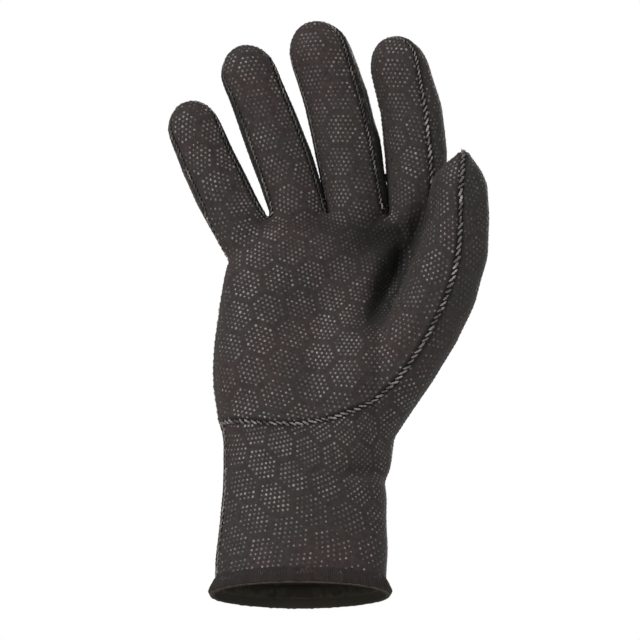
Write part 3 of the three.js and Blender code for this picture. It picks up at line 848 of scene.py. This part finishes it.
def grip_dots(name):
    """All the dots of one panel, as one piece."""
    points, faces, flat = layouts[name]
    plane = BVHTree.FromPolygons(np.c_[flat, np.zeros(len(flat))].tolist(), faces.tolist())
    fine_points, fine_faces = points_of(sheets[name].data), triangles_of(sheets[name].data)
    fine = BVHTree.FromPolygons(fine_points.tolist(), fine_faces.tolist())
    fine_ways = normals_of(fine_points, fine_faces)
    places, ways, ups = [], [], []
    for place in pattern_places(flat.min(0), flat.max(0), PATTERN_WIDE.get(name, 1)):
        found, _, face, _ = plane.find_nearest(Vector((*place, 0)), SHEET_REACH)
        if found is None:
            continue
        corners = faces[face]
        shares = weights_in(np.array(found), *np.c_[flat[corners], np.zeros(3)])
        here, _, fine_face, _ = fine.find_nearest(Vector(shares @ points[corners]))
        if here.z < BARE_EDGE or seam_finder.find(here)[2] < BARE_SEAM:
            continue
        edges = np.stack([points[corners[1]] - points[corners[0]], points[corners[2]] - points[corners[0]]])
        steps = np.stack([flat[corners[1]] - flat[corners[0]], flat[corners[2]] - flat[corners[0]]])
        ups.append(np.linalg.lstsq(steps, edges, rcond=None)[0][1])
        places.append(here)
        ways.append(fine_ways[fine_faces[fine_face]].mean(0))
    places, out, up = np.array(places), np.array(ways), np.array(ups)
    out /= np.linalg.norm(out, axis=1)[:, None]
    across = np.cross(up, out)
    across /= np.linalg.norm(across, axis=1)[:, None]
    size = random.uniform(0.85, 1.15, len(places))[:, None]
    tone = np.clip(random.normal(0.68, 0.22, len(places)), 0.15, 1.1) * (1 - faint(name, places, out))
    print(name, "has", len(places), "dots")
    along = np.cross(out, across) * random.uniform(0.8, 1.15, len(places))[:, None]
    points, faces = copies(dot_points, dot_faces, places - DOT_SINK * out, across * size, along * size,
                           out * random.uniform(0.7, 1.1, len(places))[:, None])
    title = name.replace("_panel", "") + "_grip_dots"
    dots = bpy.data.objects.new(title, mesh_from(name + "_dots", points, faces))
    bpy.context.scene.collection.objects.link(dots)
    # Only the dot's top takes its tone; its slope gets none, which the rubber shows as painted shade.
    mark(dots.data, "dot_tone", (tone[:, None] * (dot_points[:, 2] > DOT_HEIGHT / 2)[None, :]).ravel())
    only(dots)
    bpy.ops.object.shade_smooth()
    return dots


dots = {name: grip_dots(name) for name in PANELS}

# %% [markdown]
# The seams are closed by a thick twisted thread that runs over the edge in slanted stitches. A stitch is
# two plies wound round each other along a low arch, whose ends dive into the sheet. One is made, and every
# other is its copy.

# %% Wind one stitch
STITCH_LENGTH = 4.0 * mm
STITCH_RISE = 0.75 * mm
STITCH_SINK = 0.35 * mm
PLY_RADIUS = 0.36 * mm
PLY_OFFSET = 0.27 * mm
PLY_TURNS = 1.4
PLY_SIDES = 6
PLY_RINGS = 11


def ply(start_turn):
    """One ply of a stitch: a bent tube that winds round the stitch's arch and narrows at its ends."""
    rings = []
    for k in range(PLY_RINGS):
        share = k / (PLY_RINGS - 1)
        arch = 1 - (2 * share - 1) ** 2
        turn = start_turn + 2 * math.pi * PLY_TURNS * share
        taper = 0.45 + 0.55 * min(1, 3.2 * arch)
        middle = np.array([(share - 0.5) * STITCH_LENGTH, PLY_OFFSET * math.cos(turn) * taper,
                           STITCH_RISE * arch ** 0.8 - STITCH_SINK + PLY_OFFSET * math.sin(turn) * taper])
        for side in range(PLY_SIDES):
            angle = 2 * math.pi * side / PLY_SIDES
            round_it = np.array([0, math.cos(angle), math.sin(angle)])
            rings.append(middle + PLY_RADIUS * taper * round_it)
    points = np.array(rings)
    faces = []
    for k in range(PLY_RINGS - 1):
        for side in range(PLY_SIDES):
            a, b = k * PLY_SIDES + side, k * PLY_SIDES + (side + 1) % PLY_SIDES
            faces += [(a, b, b + PLY_SIDES), (a, b + PLY_SIDES, a + PLY_SIDES)]
    last = (PLY_RINGS - 1) * PLY_SIDES
    for side in range(1, PLY_SIDES - 1):
        faces += [(0, side + 1, side), (last, last + side, last + side + 1)]
    return points, np.array(faces)


def faces_inward(points, faces):
    """True where a closed mesh's faces point in."""
    a, b, c = (points[faces[:, k]] for k in range(3))
    return np.einsum("ij,ij->", a, np.cross(b, c)) < 0


first, second = ply(0), ply(math.pi)
stitch_points = np.concatenate([first[0], second[0]])
stitch_faces = np.concatenate([first[1], second[1] + len(first[0])])
if faces_inward(*first):
    stitch_faces = stitch_faces[:, ::-1]
print("a stitch has", len(stitch_faces), "triangles")

# %% [markdown]
# The stitches follow every seam, each at a slant and a little out of line. Those on the fingers are smaller
# and darker than those of the long seam over the thumb and the wrist.

# %% Sew the seams
STITCH_PITCH = 3.1 * mm
STITCH_SLANT = math.radians(-27)
FINE_STITCH = 0.74
FINE_FROM = 176 * mm  # above this height the stitches get smaller
FINE_BAND = 14 * mm


def fineness(places):
    """The finger seams are sewn with smaller stitches than the long seam over the thumb and the wrist."""
    fine = np.clip((places[:, 2] - FINE_FROM) / FINE_BAND, 0, 1) * (places[:, 0] < THUMB_X)
    return 1 - (1 - FINE_STITCH) * fine


def stitch_frames(line):
    """Places and axes for the stitches along one seam."""
    beats = np.cumsum(SEAM_STEP / (STITCH_PITCH * fineness(line)))
    at = np.clip(np.searchsorted(beats, np.arange(0.5, beats[-1])), 1, len(line) - 2)
    count = len(at)
    ways = line[np.clip(at + 4, 0, len(line) - 1)] - line[np.clip(at - 4, 0, len(line) - 1)]
    ways /= np.linalg.norm(ways, axis=1)[:, None]
    out = np.array([skin_ways[skin_faces[skin_tree.find_nearest(Vector(line[k]))[2]]].mean(0) for k in at])
    out -= (out * ways).sum(1)[:, None] * ways
    out /= np.linalg.norm(out, axis=1)[:, None]
    side = np.cross(out, ways)
    slant = STITCH_SLANT + random.normal(0, 0.1, count)[:, None]
    along = ways * np.cos(slant) + side * np.sin(slant)
    wander = side * random.uniform(-0.15, 0.15, count)[:, None] * mm
    return line[at] + wander, along, np.cross(out, along), out


frames = [stitch_frames(line) for line in seams if len(line) * SEAM_STEP > 2 * STITCH_PITCH]
places, along, across, out = (np.concatenate(part) for part in zip(*frames))
fine = fineness(places)[:, None]
length = fine * random.uniform(0.82, 1.12, len(places))[:, None]
girth = fine * random.uniform(0.72, 1.05, len(places))[:, None]
points, faces = copies(stitch_points, stitch_faces, places, along * length, across * girth, out * girth)
shine = np.clip(1.25 - (1 - fineness(places)) * 2.2, 0, 1) * random.uniform(0.35, 1.0, len(places))
stitches = bpy.data.objects.new("seam_stitches", mesh_from("seam_stitches", points, faces))
bpy.context.scene.collection.objects.link(stitches)
mark(stitches.data, "thread_tone", np.repeat(shine, len(stitch_points)))
only(stitches)
bpy.ops.object.shade_smooth()
print(len(places), "stitches, with", len(stitches.data.polygons), "triangles")

# %% [markdown]
# The tape has to fit the cuff, so the cuff is measured first: rays from its middle find the skin all round,
# at two heights, and the line between the two gives the cuff's slope.

# %% Measure the mouth
TAPE_COLUMNS = 1200
LOW_RING = 8.5  # mm above the mouth
HIGH_RING = 12
MOUTH_ROUNDS = 60
angles = np.arange(TAPE_COLUMNS) * 2 * math.pi / TAPE_COLUMNS
outside_tree = BVHTree.FromPolygons(relief_points.tolist(), skin_faces.tolist())


def mouth_radius(height):
    """How far the skin lies from the middle, all round, at one height."""
    reach = []
    for angle in angles:
        way = Vector((math.cos(angle), math.sin(angle), 0))
        hit = outside_tree.ray_cast(Vector((0, 0, height)), way)[0]
        reach.append((hit - Vector((0, 0, height))).length)
    reach = np.array(reach)
    for _ in range(MOUTH_ROUNDS):
        reach = 0.5 * reach + 0.25 * (np.roll(reach, 1) + np.roll(reach, -1))
    return reach


low_ring, high_ring = mouth_radius(LOW_RING * mm), mouth_radius(HIGH_RING * mm)
print("the cuff's radius is", round(low_ring.min() / mm), "to", round(low_ring.max() / mm), "mm")

# %% [markdown]
# The cuff's edge is bound with a thin stretch tape, folded over it and gathered into ribs. It is one closed
# ring: a folded profile is carried round the mouth, each column of it stands a little in or out for its
# rib, and the ends of the mouth's oval flare outwards.

# %% Bind the cuff
TAPE_GATHERS = 185
TAPE_RIB = 0.16 * mm
TAPE_FLARE = 2.4 * mm
TAPE_PROFILE = [  # out from the sheet's outside, and height, in mm
    (-0.8, 7.9), (-0.3, 7.8), (0.1, 7.4), (0.3, 6.4), (0.35, 5.0), (0.45, 3.6), (0.6, 2.4), (0.65, 1.3),
    (0.4, 0.5), (-0.2, 0.1), (-0.9, 0.1), (-1.5, 0.7), (-2.2, 1.9), (-2.85, 3.3), (-3.05, 5.0), (-3.0, 8.0),
    (-2.9, 10.5), (-2.2, 11),
]
phase = np.cumsum(random.uniform(0.4, 1.6, TAPE_COLUMNS))
phase *= 2 * math.pi * TAPE_GATHERS / phase[-1]
strong = 0.65 + 0.35 * np.sin(angles * 23 + 1)
rib = TAPE_RIB * (np.sin(phase) * strong + 0.5 * np.sin(phase * 2 + np.sin(angles * 9)))
swing = 0.12 * mm * (np.sin(angles * 31) * np.sin(angles * 7 + 2) + np.sin(angles * 53 + 1))


def tape_ring(away, height):
    """One line round the tape: out from the sheet and up from the mouth, in mm."""
    outside = np.clip((away + 1.5) / 2, 0, 1)
    slope = (low_ring - high_ring) / ((HIGH_RING - LOW_RING) * mm)
    flare = TAPE_FLARE * np.cos(angles) ** 8 * np.clip(1 - abs(height - 2.6) / 5.5, 0, 1)
    reach = low_ring + slope * (LOW_RING - height) * mm + away * mm + flare + rib * (0.3 + 0.7 * outside)
    wave = swing * np.clip((height - 4) / 3, 0, 1) * outside
    lift = height * mm + wave - MOUTH_LEAN * reach * np.sin(angles)
    return np.stack([reach * np.cos(angles), reach * np.sin(angles), lift], axis=1)


def ring_faces(rows, columns):
    """The triangles of a closed tube: each row is joined to the next, and the last to the first."""
    here, after = np.arange(columns), (np.arange(columns) + 1) % columns
    faces = []
    for k in range(rows):
        a, b = k * columns, ((k + 1) % rows) * columns
        faces.append(np.stack([a + here, b + after, a + after], axis=1))
        faces.append(np.stack([a + here, b + here, b + after], axis=1))
    return np.concatenate(faces)


def closed_tube(name, points, rows):
    """A closed ring-shaped tube as an object, with its faces pointing out."""
    faces = ring_faces(rows, len(points) // rows)
    if faces_inward(points, faces):
        faces = faces[:, ::-1]
    tube = bpy.data.objects.new(name, mesh_from(name, points, faces))
    bpy.context.scene.collection.objects.link(tube)
    only(tube)
    bpy.ops.object.shade_smooth()
    return tube


tape_points = np.concatenate([tape_ring(away, z) for away, z in TAPE_PROFILE])
binding = closed_tube("cuff_tape", tape_points, len(TAPE_PROFILE))
mark(binding.data, "rib", np.tile(rib / TAPE_RIB, len(TAPE_PROFILE)))
print("the tape has", len(binding.data.polygons), "triangles")

# %% [markdown]
# Dark overlock thread zigzags over the tape's upper edge, and one rust-brown thread runs along its fold.
# Both are thin tubes laid on the tape's own lines, with some slack so that they don't look drawn with a
# ruler.

# %% Overlock thread and fold thread
THREAD_SIDES = 5


def thread_round(name, radius, away, height, zigzag, beats):
    """A thin thread round the tape, swinging up and down by zigzag mm."""
    swings = np.arcsin(np.sin(phase * beats)) / 1.57
    wander = 0.35 * np.sin(angles * 17 + beats) + 0.25 * np.sin(angles * 41)
    low, high = tape_ring(away, height - zigzag), tape_ring(away, height + zigzag)
    slack = 0.55 + 0.45 * np.sin(angles * 13 + 2) * np.sin(angles * 29)
    share = np.clip(0.5 + 0.5 * swings * slack + 0.5 * wander, -0.2, 1.2)[:, None]
    line = low * (1 - share) + high * share
    ways = np.roll(line, -1, axis=0) - np.roll(line, 1, axis=0)
    ways /= np.linalg.norm(ways, axis=1)[:, None]
    out = np.stack([np.cos(angles), np.sin(angles), 0 * angles], axis=1)
    up = np.cross(ways, out)
    turns = np.arange(THREAD_SIDES) * 2 * math.pi / THREAD_SIDES
    rows = [line + radius * (out * math.cos(turn) + up * math.sin(turn)) for turn in turns]
    return closed_tube(name, np.concatenate(rows), THREAD_SIDES)


overlock = thread_round("cuff_overlock_thread", 0.12 * mm, 0.3, 5.2, 2.3, 0.47)
fold_thread = thread_round("cuff_fold_thread", 0.2 * mm, 0.42, 0.35, 0.15, 0.3)
print("the threads have", len(overlock.data.polygons) + len(fold_thread.data.polygons), "triangles")

# %% [markdown]
# The real sheet is 3 mm of foam rubber with a knitted face on both sides. Solidify gives each panel that
# thickness inwards, so its outside stays where the seams put it. Its inside takes the second material, for
# the lining.

# %% Thickness
SHEET_THICKNESS = 2.8 * mm
for name, piece in sheets.items():
    gap, _ = to_seam(points_of(piece.data))
    # The face reads this distance to paint shade along the seams.
    mark(piece.data, "seam_mm", np.minimum(gap / mm, 9))
    ways = normals_of(points_of(piece.data), triangles_of(piece.data))
    # Painted shade and grime in the deep dents, for the face material.
    mark(piece.data, "dent_shade_and_dirt", shade_and_dirt_in_dents(points_of(piece.data), ways))
    only(piece)
    wall = piece.modifiers.new("thickness", "SOLIDIFY")
    wall.thickness = SHEET_THICKNESS
    wall.offset = -1
    wall.material_offset = 1
    wall.material_offset_rim = 1
    piece.data.materials.append(None)
    piece.data.materials.append(None)
    bpy.ops.object.modifier_apply(modifier=wall.name)
print("sheets of", round(SHEET_THICKNESS / mm, 1), "mm:",
      {n: len(p.data.polygons) for n, p in sheets.items()})

# %% [markdown]
# Every finish starts from the same few effects, so each effect is a node group. Short helpers add a node, a
# sum or a mix of two colours in one line, which keeps the materials readable.

# %% Helpers for finishes
def new_group(name, inputs, outputs):
    """A shader node group with named sockets."""
    group = bpy.data.node_groups.new(name, "ShaderNodeTree")
    for socket, kind in inputs:
        group.interface.new_socket(name=socket, in_out="INPUT", socket_type=kind)
    for socket, kind in outputs:
        group.interface.new_socket(name=socket, in_out="OUTPUT", socket_type=kind)
    return group, group.nodes.new("NodeGroupInput"), group.nodes.new("NodeGroupOutput")


def node(tree, kind, inputs=(), **settings):
    """Adds a node, sets its properties, and fills or links its inputs by name or number."""
    made = tree.nodes.new(kind)
    for key, value in settings.items():
        setattr(made, key, value)
    for key, value in dict(inputs).items():
        if isinstance(value, bpy.types.NodeSocket):
            tree.links.new(value, made.inputs[key])
        else:
            made.inputs[key].default_value = value
    return made


def maths(tree, operation, first, second=0.0, third=0.0):
    """One Math node's result."""
    return node(tree, "ShaderNodeMath", {0: first, 1: second, 2: third}, operation=operation).outputs[0]


def mixed(tree, share, first, second):
    """One colour mixed with another."""
    mix = node(tree, "ShaderNodeMix", {"Factor": share, 6: first, 7: second}, data_type="RGBA")
    return mix.outputs[2]


def spread(tree, value, low, high, to_low=0.0, to_high=1.0):
    """A value between low and high, spread between two others and kept there."""
    ends = {"From Min": low, "From Max": high, "To Min": to_low, "To Max": to_high}
    return node(tree, "ShaderNodeMapRange", {"Value": value, **ends}).outputs[0]


def grey(value):
    """A grey as a colour."""
    return (value, value, value, 1)


print("helpers ready in Blender", bpy.app.version_string)

# %% [markdown]
# The knit is rows of small loops. In the flat map a zigzag across and a sine along give their relief, which
# is finer than any mesh here, so it only feeds the bump and gives the mask for painted shade in the pits
# between loops.

# %% The knit group
def knit_group():
    """Rows of small loops in the flat map: a relief from 0 to 1, and a mask of the pits between loops for
    painted shade.
    """
    inputs = [("Vector", "NodeSocketVector"), ("Loop mm", "NodeSocketFloat")]
    outputs = [("Relief", "NodeSocketFloat"), ("Pits", "NodeSocketFloat")]
    tree, start, end = new_group("knit_loops", inputs, outputs)
    scale = maths(tree, "DIVIDE", FLAT_SHEET / mm, start.outputs["Loop mm"])
    sized = {0: start.outputs["Vector"], "Scale": scale}
    place = node(tree, "ShaderNodeVectorMath", sized, operation="SCALE")
    split = node(tree, "ShaderNodeSeparateXYZ", {0: place.outputs[0]})
    across = maths(tree, "PINGPONG", split.outputs["X"], 0.5)
    tall = maths(tree, "MULTIPLY", split.outputs["Y"], 1.25)
    lean = maths(tree, "MULTIPLY_ADD", across, 1.4, tall)
    row = maths(tree, "SINE", maths(tree, "MULTIPLY", lean, 2 * math.pi))
    column = maths(tree, "SINE", maths(tree, "MULTIPLY", across, 2 * math.pi))
    relief = maths(tree, "MULTIPLY_ADD", maths(tree, "MULTIPLY", row, column), 0.5, 0.5)
    tree.links.new(relief, end.inputs["Relief"])
    tree.links.new(maths(tree, "SUBTRACT", 1.0, maths(tree, "POWER", relief, 0.5)), end.inputs["Pits"])
    return tree


knit_loops = knit_group()
print(knit_loops.name, "has", len(knit_loops.nodes), "nodes")

# %% [markdown]
# Worn cloth is never one colour. A broad noise mixes in a warmer and a cooler tone, and a fine one makes it
# lighter and darker from speck to speck.

# %% The tone group
def tone_group():
    """Slow patches of warmer and cooler, lighter and darker cloth, in object space."""
    inputs = [(socket, "NodeSocketColor") for socket in ("Colour", "Warm", "Cool")]
    tree, start, end = new_group("cloth_tone", inputs, [("Colour", "NodeSocketColor")])
    place = node(tree, "ShaderNodeTexCoord").outputs["Object"]
    broad = node(tree, "ShaderNodeTexNoise", {"Vector": place, "Scale": 20, "Detail": 3, "Roughness": 0.6})
    fine = node(tree, "ShaderNodeTexNoise", {"Vector": place, "Scale": 420, "Detail": 2, "Roughness": 0.6})
    warm = spread(tree, broad.outputs["Fac"], 0.48, 0.64, 0, 0.7)
    cool = spread(tree, broad.outputs["Fac"], 0.5, 0.38, 0, 0.6)
    colour = mixed(tree, warm, start.outputs["Colour"], start.outputs["Warm"])
    colour = mixed(tree, cool, colour, start.outputs["Cool"])
    speck = spread(tree, fine.outputs["Fac"], 0.3, 0.7, 0.72, 1.3)
    shade = node(tree, "ShaderNodeVectorMath", {0: colour, "Scale": speck}, operation="SCALE")
    tree.links.new(shade.outputs[0], end.inputs["Colour"])
    return tree


cloth_tone = tone_group()
print(cloth_tone.name, "has", len(cloth_tone.nodes), "nodes")

# %% [markdown]
# The knitted face is dark brown-grey, a little warmer here and cooler there, and dull. Its loops are well
# under a millimetre, so they only show up close, as a fine relief. Along the contours the cloth's fuzz
# catches light.

# %% Knitted faces
def placed(tree, group, **inputs):
    """A node group placed in a material."""
    return node(tree, "ShaderNodeGroup", {key.replace("_", " "): value for key, value in inputs.items()},
                node_tree=group)


def new_finish(name, roughness, sheen=0.0, sheen_tint=(1, 1, 1, 1), specular=0.5):
    """A material and its Principled shader, with the values that are the same all over."""
    finish = bpy.data.materials.new(name)
    finish.use_nodes = True
    shader = finish.node_tree.nodes["Principled BSDF"]
    shader.inputs["Roughness"].default_value = roughness
    shader.inputs["Sheen Weight"].default_value = sheen
    shader.inputs["Sheen Roughness"].default_value = 0.45
    shader.inputs["Sheen Tint"].default_value = sheen_tint
    shader.inputs["Specular IOR Level"].default_value = specular
    return finish, finish.node_tree, shader


def knitted_face(name, colour, warm, cool, roughness, sheen, relief):
    """A knitted cloth with painted shade in its pits and along the seams, and painted shade and grime in the
    deep dents.
    """
    finish, tree, shader = new_finish(name, roughness, sheen, (0.75, 0.8, 0.72, 1), 0.3)
    flat = node(tree, "ShaderNodeUVMap", uv_map="flat").outputs["UV"]
    knit = placed(tree, knit_loops, Vector=flat, Loop_mm=0.85)
    toned = placed(tree, cloth_tone, Colour=colour, Warm=warm, Cool=cool)
    # Painted shade in the knit's pits.
    deep = maths(tree, "MULTIPLY", knit.outputs["Pits"], 0.45)
    cloth = mixed(tree, deep, toned.outputs["Colour"], grey(0.008))
    # Painted shade along the seams, and painted shade and grime in the deep dents.
    seam = node(tree, "ShaderNodeAttribute", attribute_name="seam_mm").outputs["Fac"]
    seam_shade = spread(tree, seam, 0.6, 3.2, 0.75, 0.0)
    dent_shade_and_dirt = node(tree, "ShaderNodeAttribute", attribute_name="dent_shade_and_dirt").outputs["Fac"]
    dark = maths(tree, "MAXIMUM", seam_shade, maths(tree, "MULTIPLY", dent_shade_and_dirt, 0.85))
    tree.links.new(mixed(tree, dark, cloth, grey(0.006)), shader.inputs["Base Color"])
    bump = node(tree, "ShaderNodeBump", {"Height": knit.outputs["Relief"], "Strength": relief,
                                         "Distance": 0.12 * mm})
    tree.links.new(bump.outputs[0], shader.inputs["Normal"])
    return finish


foam_face = knitted_face("knitted_foam_face", (0.037, 0.0290, 0.0270, 1), (0.050, 0.030, 0.029, 1),
                         (0.0315, 0.0300, 0.0255, 1), 0.78, 0.12, 0.6)
strip_face = knitted_face("knitted_strip_face", (0.026, 0.021, 0.020, 1), (0.032, 0.024, 0.023, 1),
                          (0.022, 0.023, 0.021, 1), 0.8, 0.06, 0.5)
lining = knitted_face("olive_lining", (0.031, 0.0265, 0.0185, 1), (0.032, 0.026, 0.018, 1),
                      (0.030, 0.0265, 0.0185, 1), 0.9, 0.02, 0.2)
print("finishes:", foam_face.name, strip_face.name, lining.name)

# %% [markdown]
# The printed dots are a paler grey-brown rubber. They wear unevenly, so their tone changes from patch to
# patch and from dot to dot.

# %% Printed rubber
grip_rubber, tree, shader = new_finish("printed_grip_rubber", 0.45, specular=0.5)
place = node(tree, "ShaderNodeTexCoord").outputs["Object"]
worn = node(tree, "ShaderNodeTexNoise", {"Vector": place, "Scale": 45, "Detail": 2})
single = node(tree, "ShaderNodeAttribute", attribute_name="dot_tone").outputs["Fac"]
patchy = spread(tree, worn.outputs["Fac"], 0.36, 0.6, 0.72, 1.12)
share = spread(tree, maths(tree, "MULTIPLY", single, patchy), 0.0, 1.0)
stain = node(tree, "ShaderNodeTexNoise", {"Vector": place, "Scale": 110}).outputs["Fac"]
pale = mixed(tree, spread(tree, stain, 0.45, 0.65), (0.30, 0.270, 0.256, 1), (0.28, 0.215, 0.182, 1))
# The dark colour paints the shade on each dot's slope, and faint dots sink towards it; the pale one is the
# print's colour.
core = maths(tree, "POWER", share, 1.9)
tree.links.new(mixed(tree, core, (0.015, 0.012, 0.011, 1), pale), shader.inputs["Base Color"])
print("finish:", grip_rubber.name)

# %% [markdown]
# The seams' thread is a pale grey-brown polyester with a silky gloss, greyed by use. Fine noise gives it
# strands.

# %% Seam thread
thread, tree, shader = new_finish("seam_thread", 0.5, 0.15, specular=0.5)
place = node(tree, "ShaderNodeTexCoord").outputs["Object"]
soil = node(tree, "ShaderNodeTexNoise", {"Vector": place, "Scale": 160, "Detail": 3})
single = node(tree, "ShaderNodeAttribute", attribute_name="thread_tone").outputs["Fac"]
clean = maths(tree, "MULTIPLY", spread(tree, soil.outputs["Fac"], 0.35, 0.65), single)
worn_thread = mixed(tree, clean, (0.055, 0.044, 0.040, 1), (0.46, 0.415, 0.39, 1))
tree.links.new(worn_thread, shader.inputs["Base Color"])
strands = node(tree, "ShaderNodeTexNoise", {"Vector": place, "Scale": 2600, "Detail": 1})
bump = node(tree, "ShaderNodeBump", {"Height": strands.outputs["Fac"], "Strength": 0.4, "Distance": 0.1 * mm})
tree.links.new(bump.outputs[0], shader.inputs["Normal"])
print("finish:", thread.name)

# %% [markdown]
# The tape is a dull maroon-brown on the outside, with painted shade in the grooves between its ribs.
# Inside and underneath it has the lining's dark olive. The way its surface faces, set against the way out
# from the cuff's middle, tells the two apart.

# %% Tape
tape_cloth, tree, shader = new_finish("dark_stretch_tape", 0.85, 0.06, (0.8, 0.7, 0.65, 1), 0.25)
toned = placed(tree, cloth_tone, Colour=(0.031, 0.021, 0.019, 1), Warm=(0.046, 0.024, 0.022, 1),
               Cool=(0.028, 0.024, 0.019, 1))
ridge = spread(tree, node(tree, "ShaderNodeAttribute", attribute_name="rib").outputs["Fac"], -0.9, 1.1)
# Painted shade: the grooves between the ribs are mixed towards dark grey.
ribbed = mixed(tree, ridge, grey(0.019), toned.outputs["Colour"])
place = node(tree, "ShaderNodeTexCoord").outputs["Object"]
where = node(tree, "ShaderNodeSeparateXYZ", {0: place}).outputs
reach = maths(tree, "SQRT", maths(tree, "MULTIPLY_ADD", where["X"], where["X"],
                                  maths(tree, "MULTIPLY", where["Y"], where["Y"])))
normal = node(tree, "ShaderNodeNewGeometry").outputs["Normal"]
facing = node(tree, "ShaderNodeVectorMath", {0: normal, 1: place}, operation="DOT_PRODUCT").outputs["Value"]
inner = spread(tree, maths(tree, "DIVIDE", facing, reach), 0.1, -0.3)
upward = node(tree, "ShaderNodeSeparateXYZ", {0: normal}).outputs["Z"]
inner = maths(tree, "MAXIMUM", inner, spread(tree, upward, -0.35, -0.75))
tree.links.new(mixed(tree, inner, ribbed, (0.028, 0.024, 0.017, 1)), shader.inputs["Base Color"])
weave = node(tree, "ShaderNodeTexNoise", {"Vector": place, "Scale": 1500, "Detail": 2})
bump = node(tree, "ShaderNodeBump", {"Height": weave.outputs["Fac"], "Strength": 0.6, "Distance": 0.15 * mm})
tree.links.new(bump.outputs[0], shader.inputs["Normal"])
print("finish:", tape_cloth.name)

# %% [markdown]
# The tape's two threads change from dark to pale along their length, because they lie partly in the cloth.
# They differ only in colour and in how long the pale stretches are.

# %% Tape threads
def flecked_thread(name, scale, low, high, dark, pale):
    """A thread that is dark in some places and pale in others."""
    finish, tree, shader = new_finish(name, 0.6, 0.1, specular=0.4)
    place = node(tree, "ShaderNodeTexCoord").outputs["Object"]
    soil = node(tree, "ShaderNodeTexNoise", {"Vector": place, "Scale": scale, "Detail": 2})
    fleck = spread(tree, soil.outputs["Fac"], low, high)
    tree.links.new(mixed(tree, fleck, dark, pale), shader.inputs["Base Color"])
    return finish


fold_colour = flecked_thread("rust_fold_thread", 220, 0.4, 0.62, (0.035, 0.022, 0.018, 1),
                             (0.13, 0.065, 0.04, 1))
overlock_colour = flecked_thread("dark_overlock_thread", 130, 0.5, 0.72, (0.03, 0.024, 0.022, 1),
                                 (0.17, 0.15, 0.14, 1))
print("finishes:", fold_colour.name, overlock_colour.name)

# %% [markdown]
# Each sheet has two materials, its knitted face outside and its lining inside. Everything else has one.

# %% Give every piece its finish
for name, piece in sheets.items():
    piece.data.materials[0] = foam_face if name in UPRIGHT else strip_face
    piece.data.materials[1] = lining
for piece in dots.values():
    piece.data.materials.append(grip_rubber)
stitches.data.materials.append(thread)
binding.data.materials.append(tape_cloth)
overlock.data.materials.append(overlock_colour)
fold_thread.data.materials.append(fold_colour)
print(len(sheets) + len(dots) + 4, "pieces have their finish")

# %% [markdown]
# Last, every piece is placed in the frame. A sheet replaces its CAD panel, the tape replaces the binding,
# and every piece rides on the one body, because the glove has no part that turns.

# %% Place every piece in the frame
for name, piece in sheets.items():
    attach(piece, "root")
    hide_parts(name)
for piece in [*dots.values(), stitches, overlock, fold_thread]:
    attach(piece, "root")
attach(binding, "root")
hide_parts("cuff_binding")
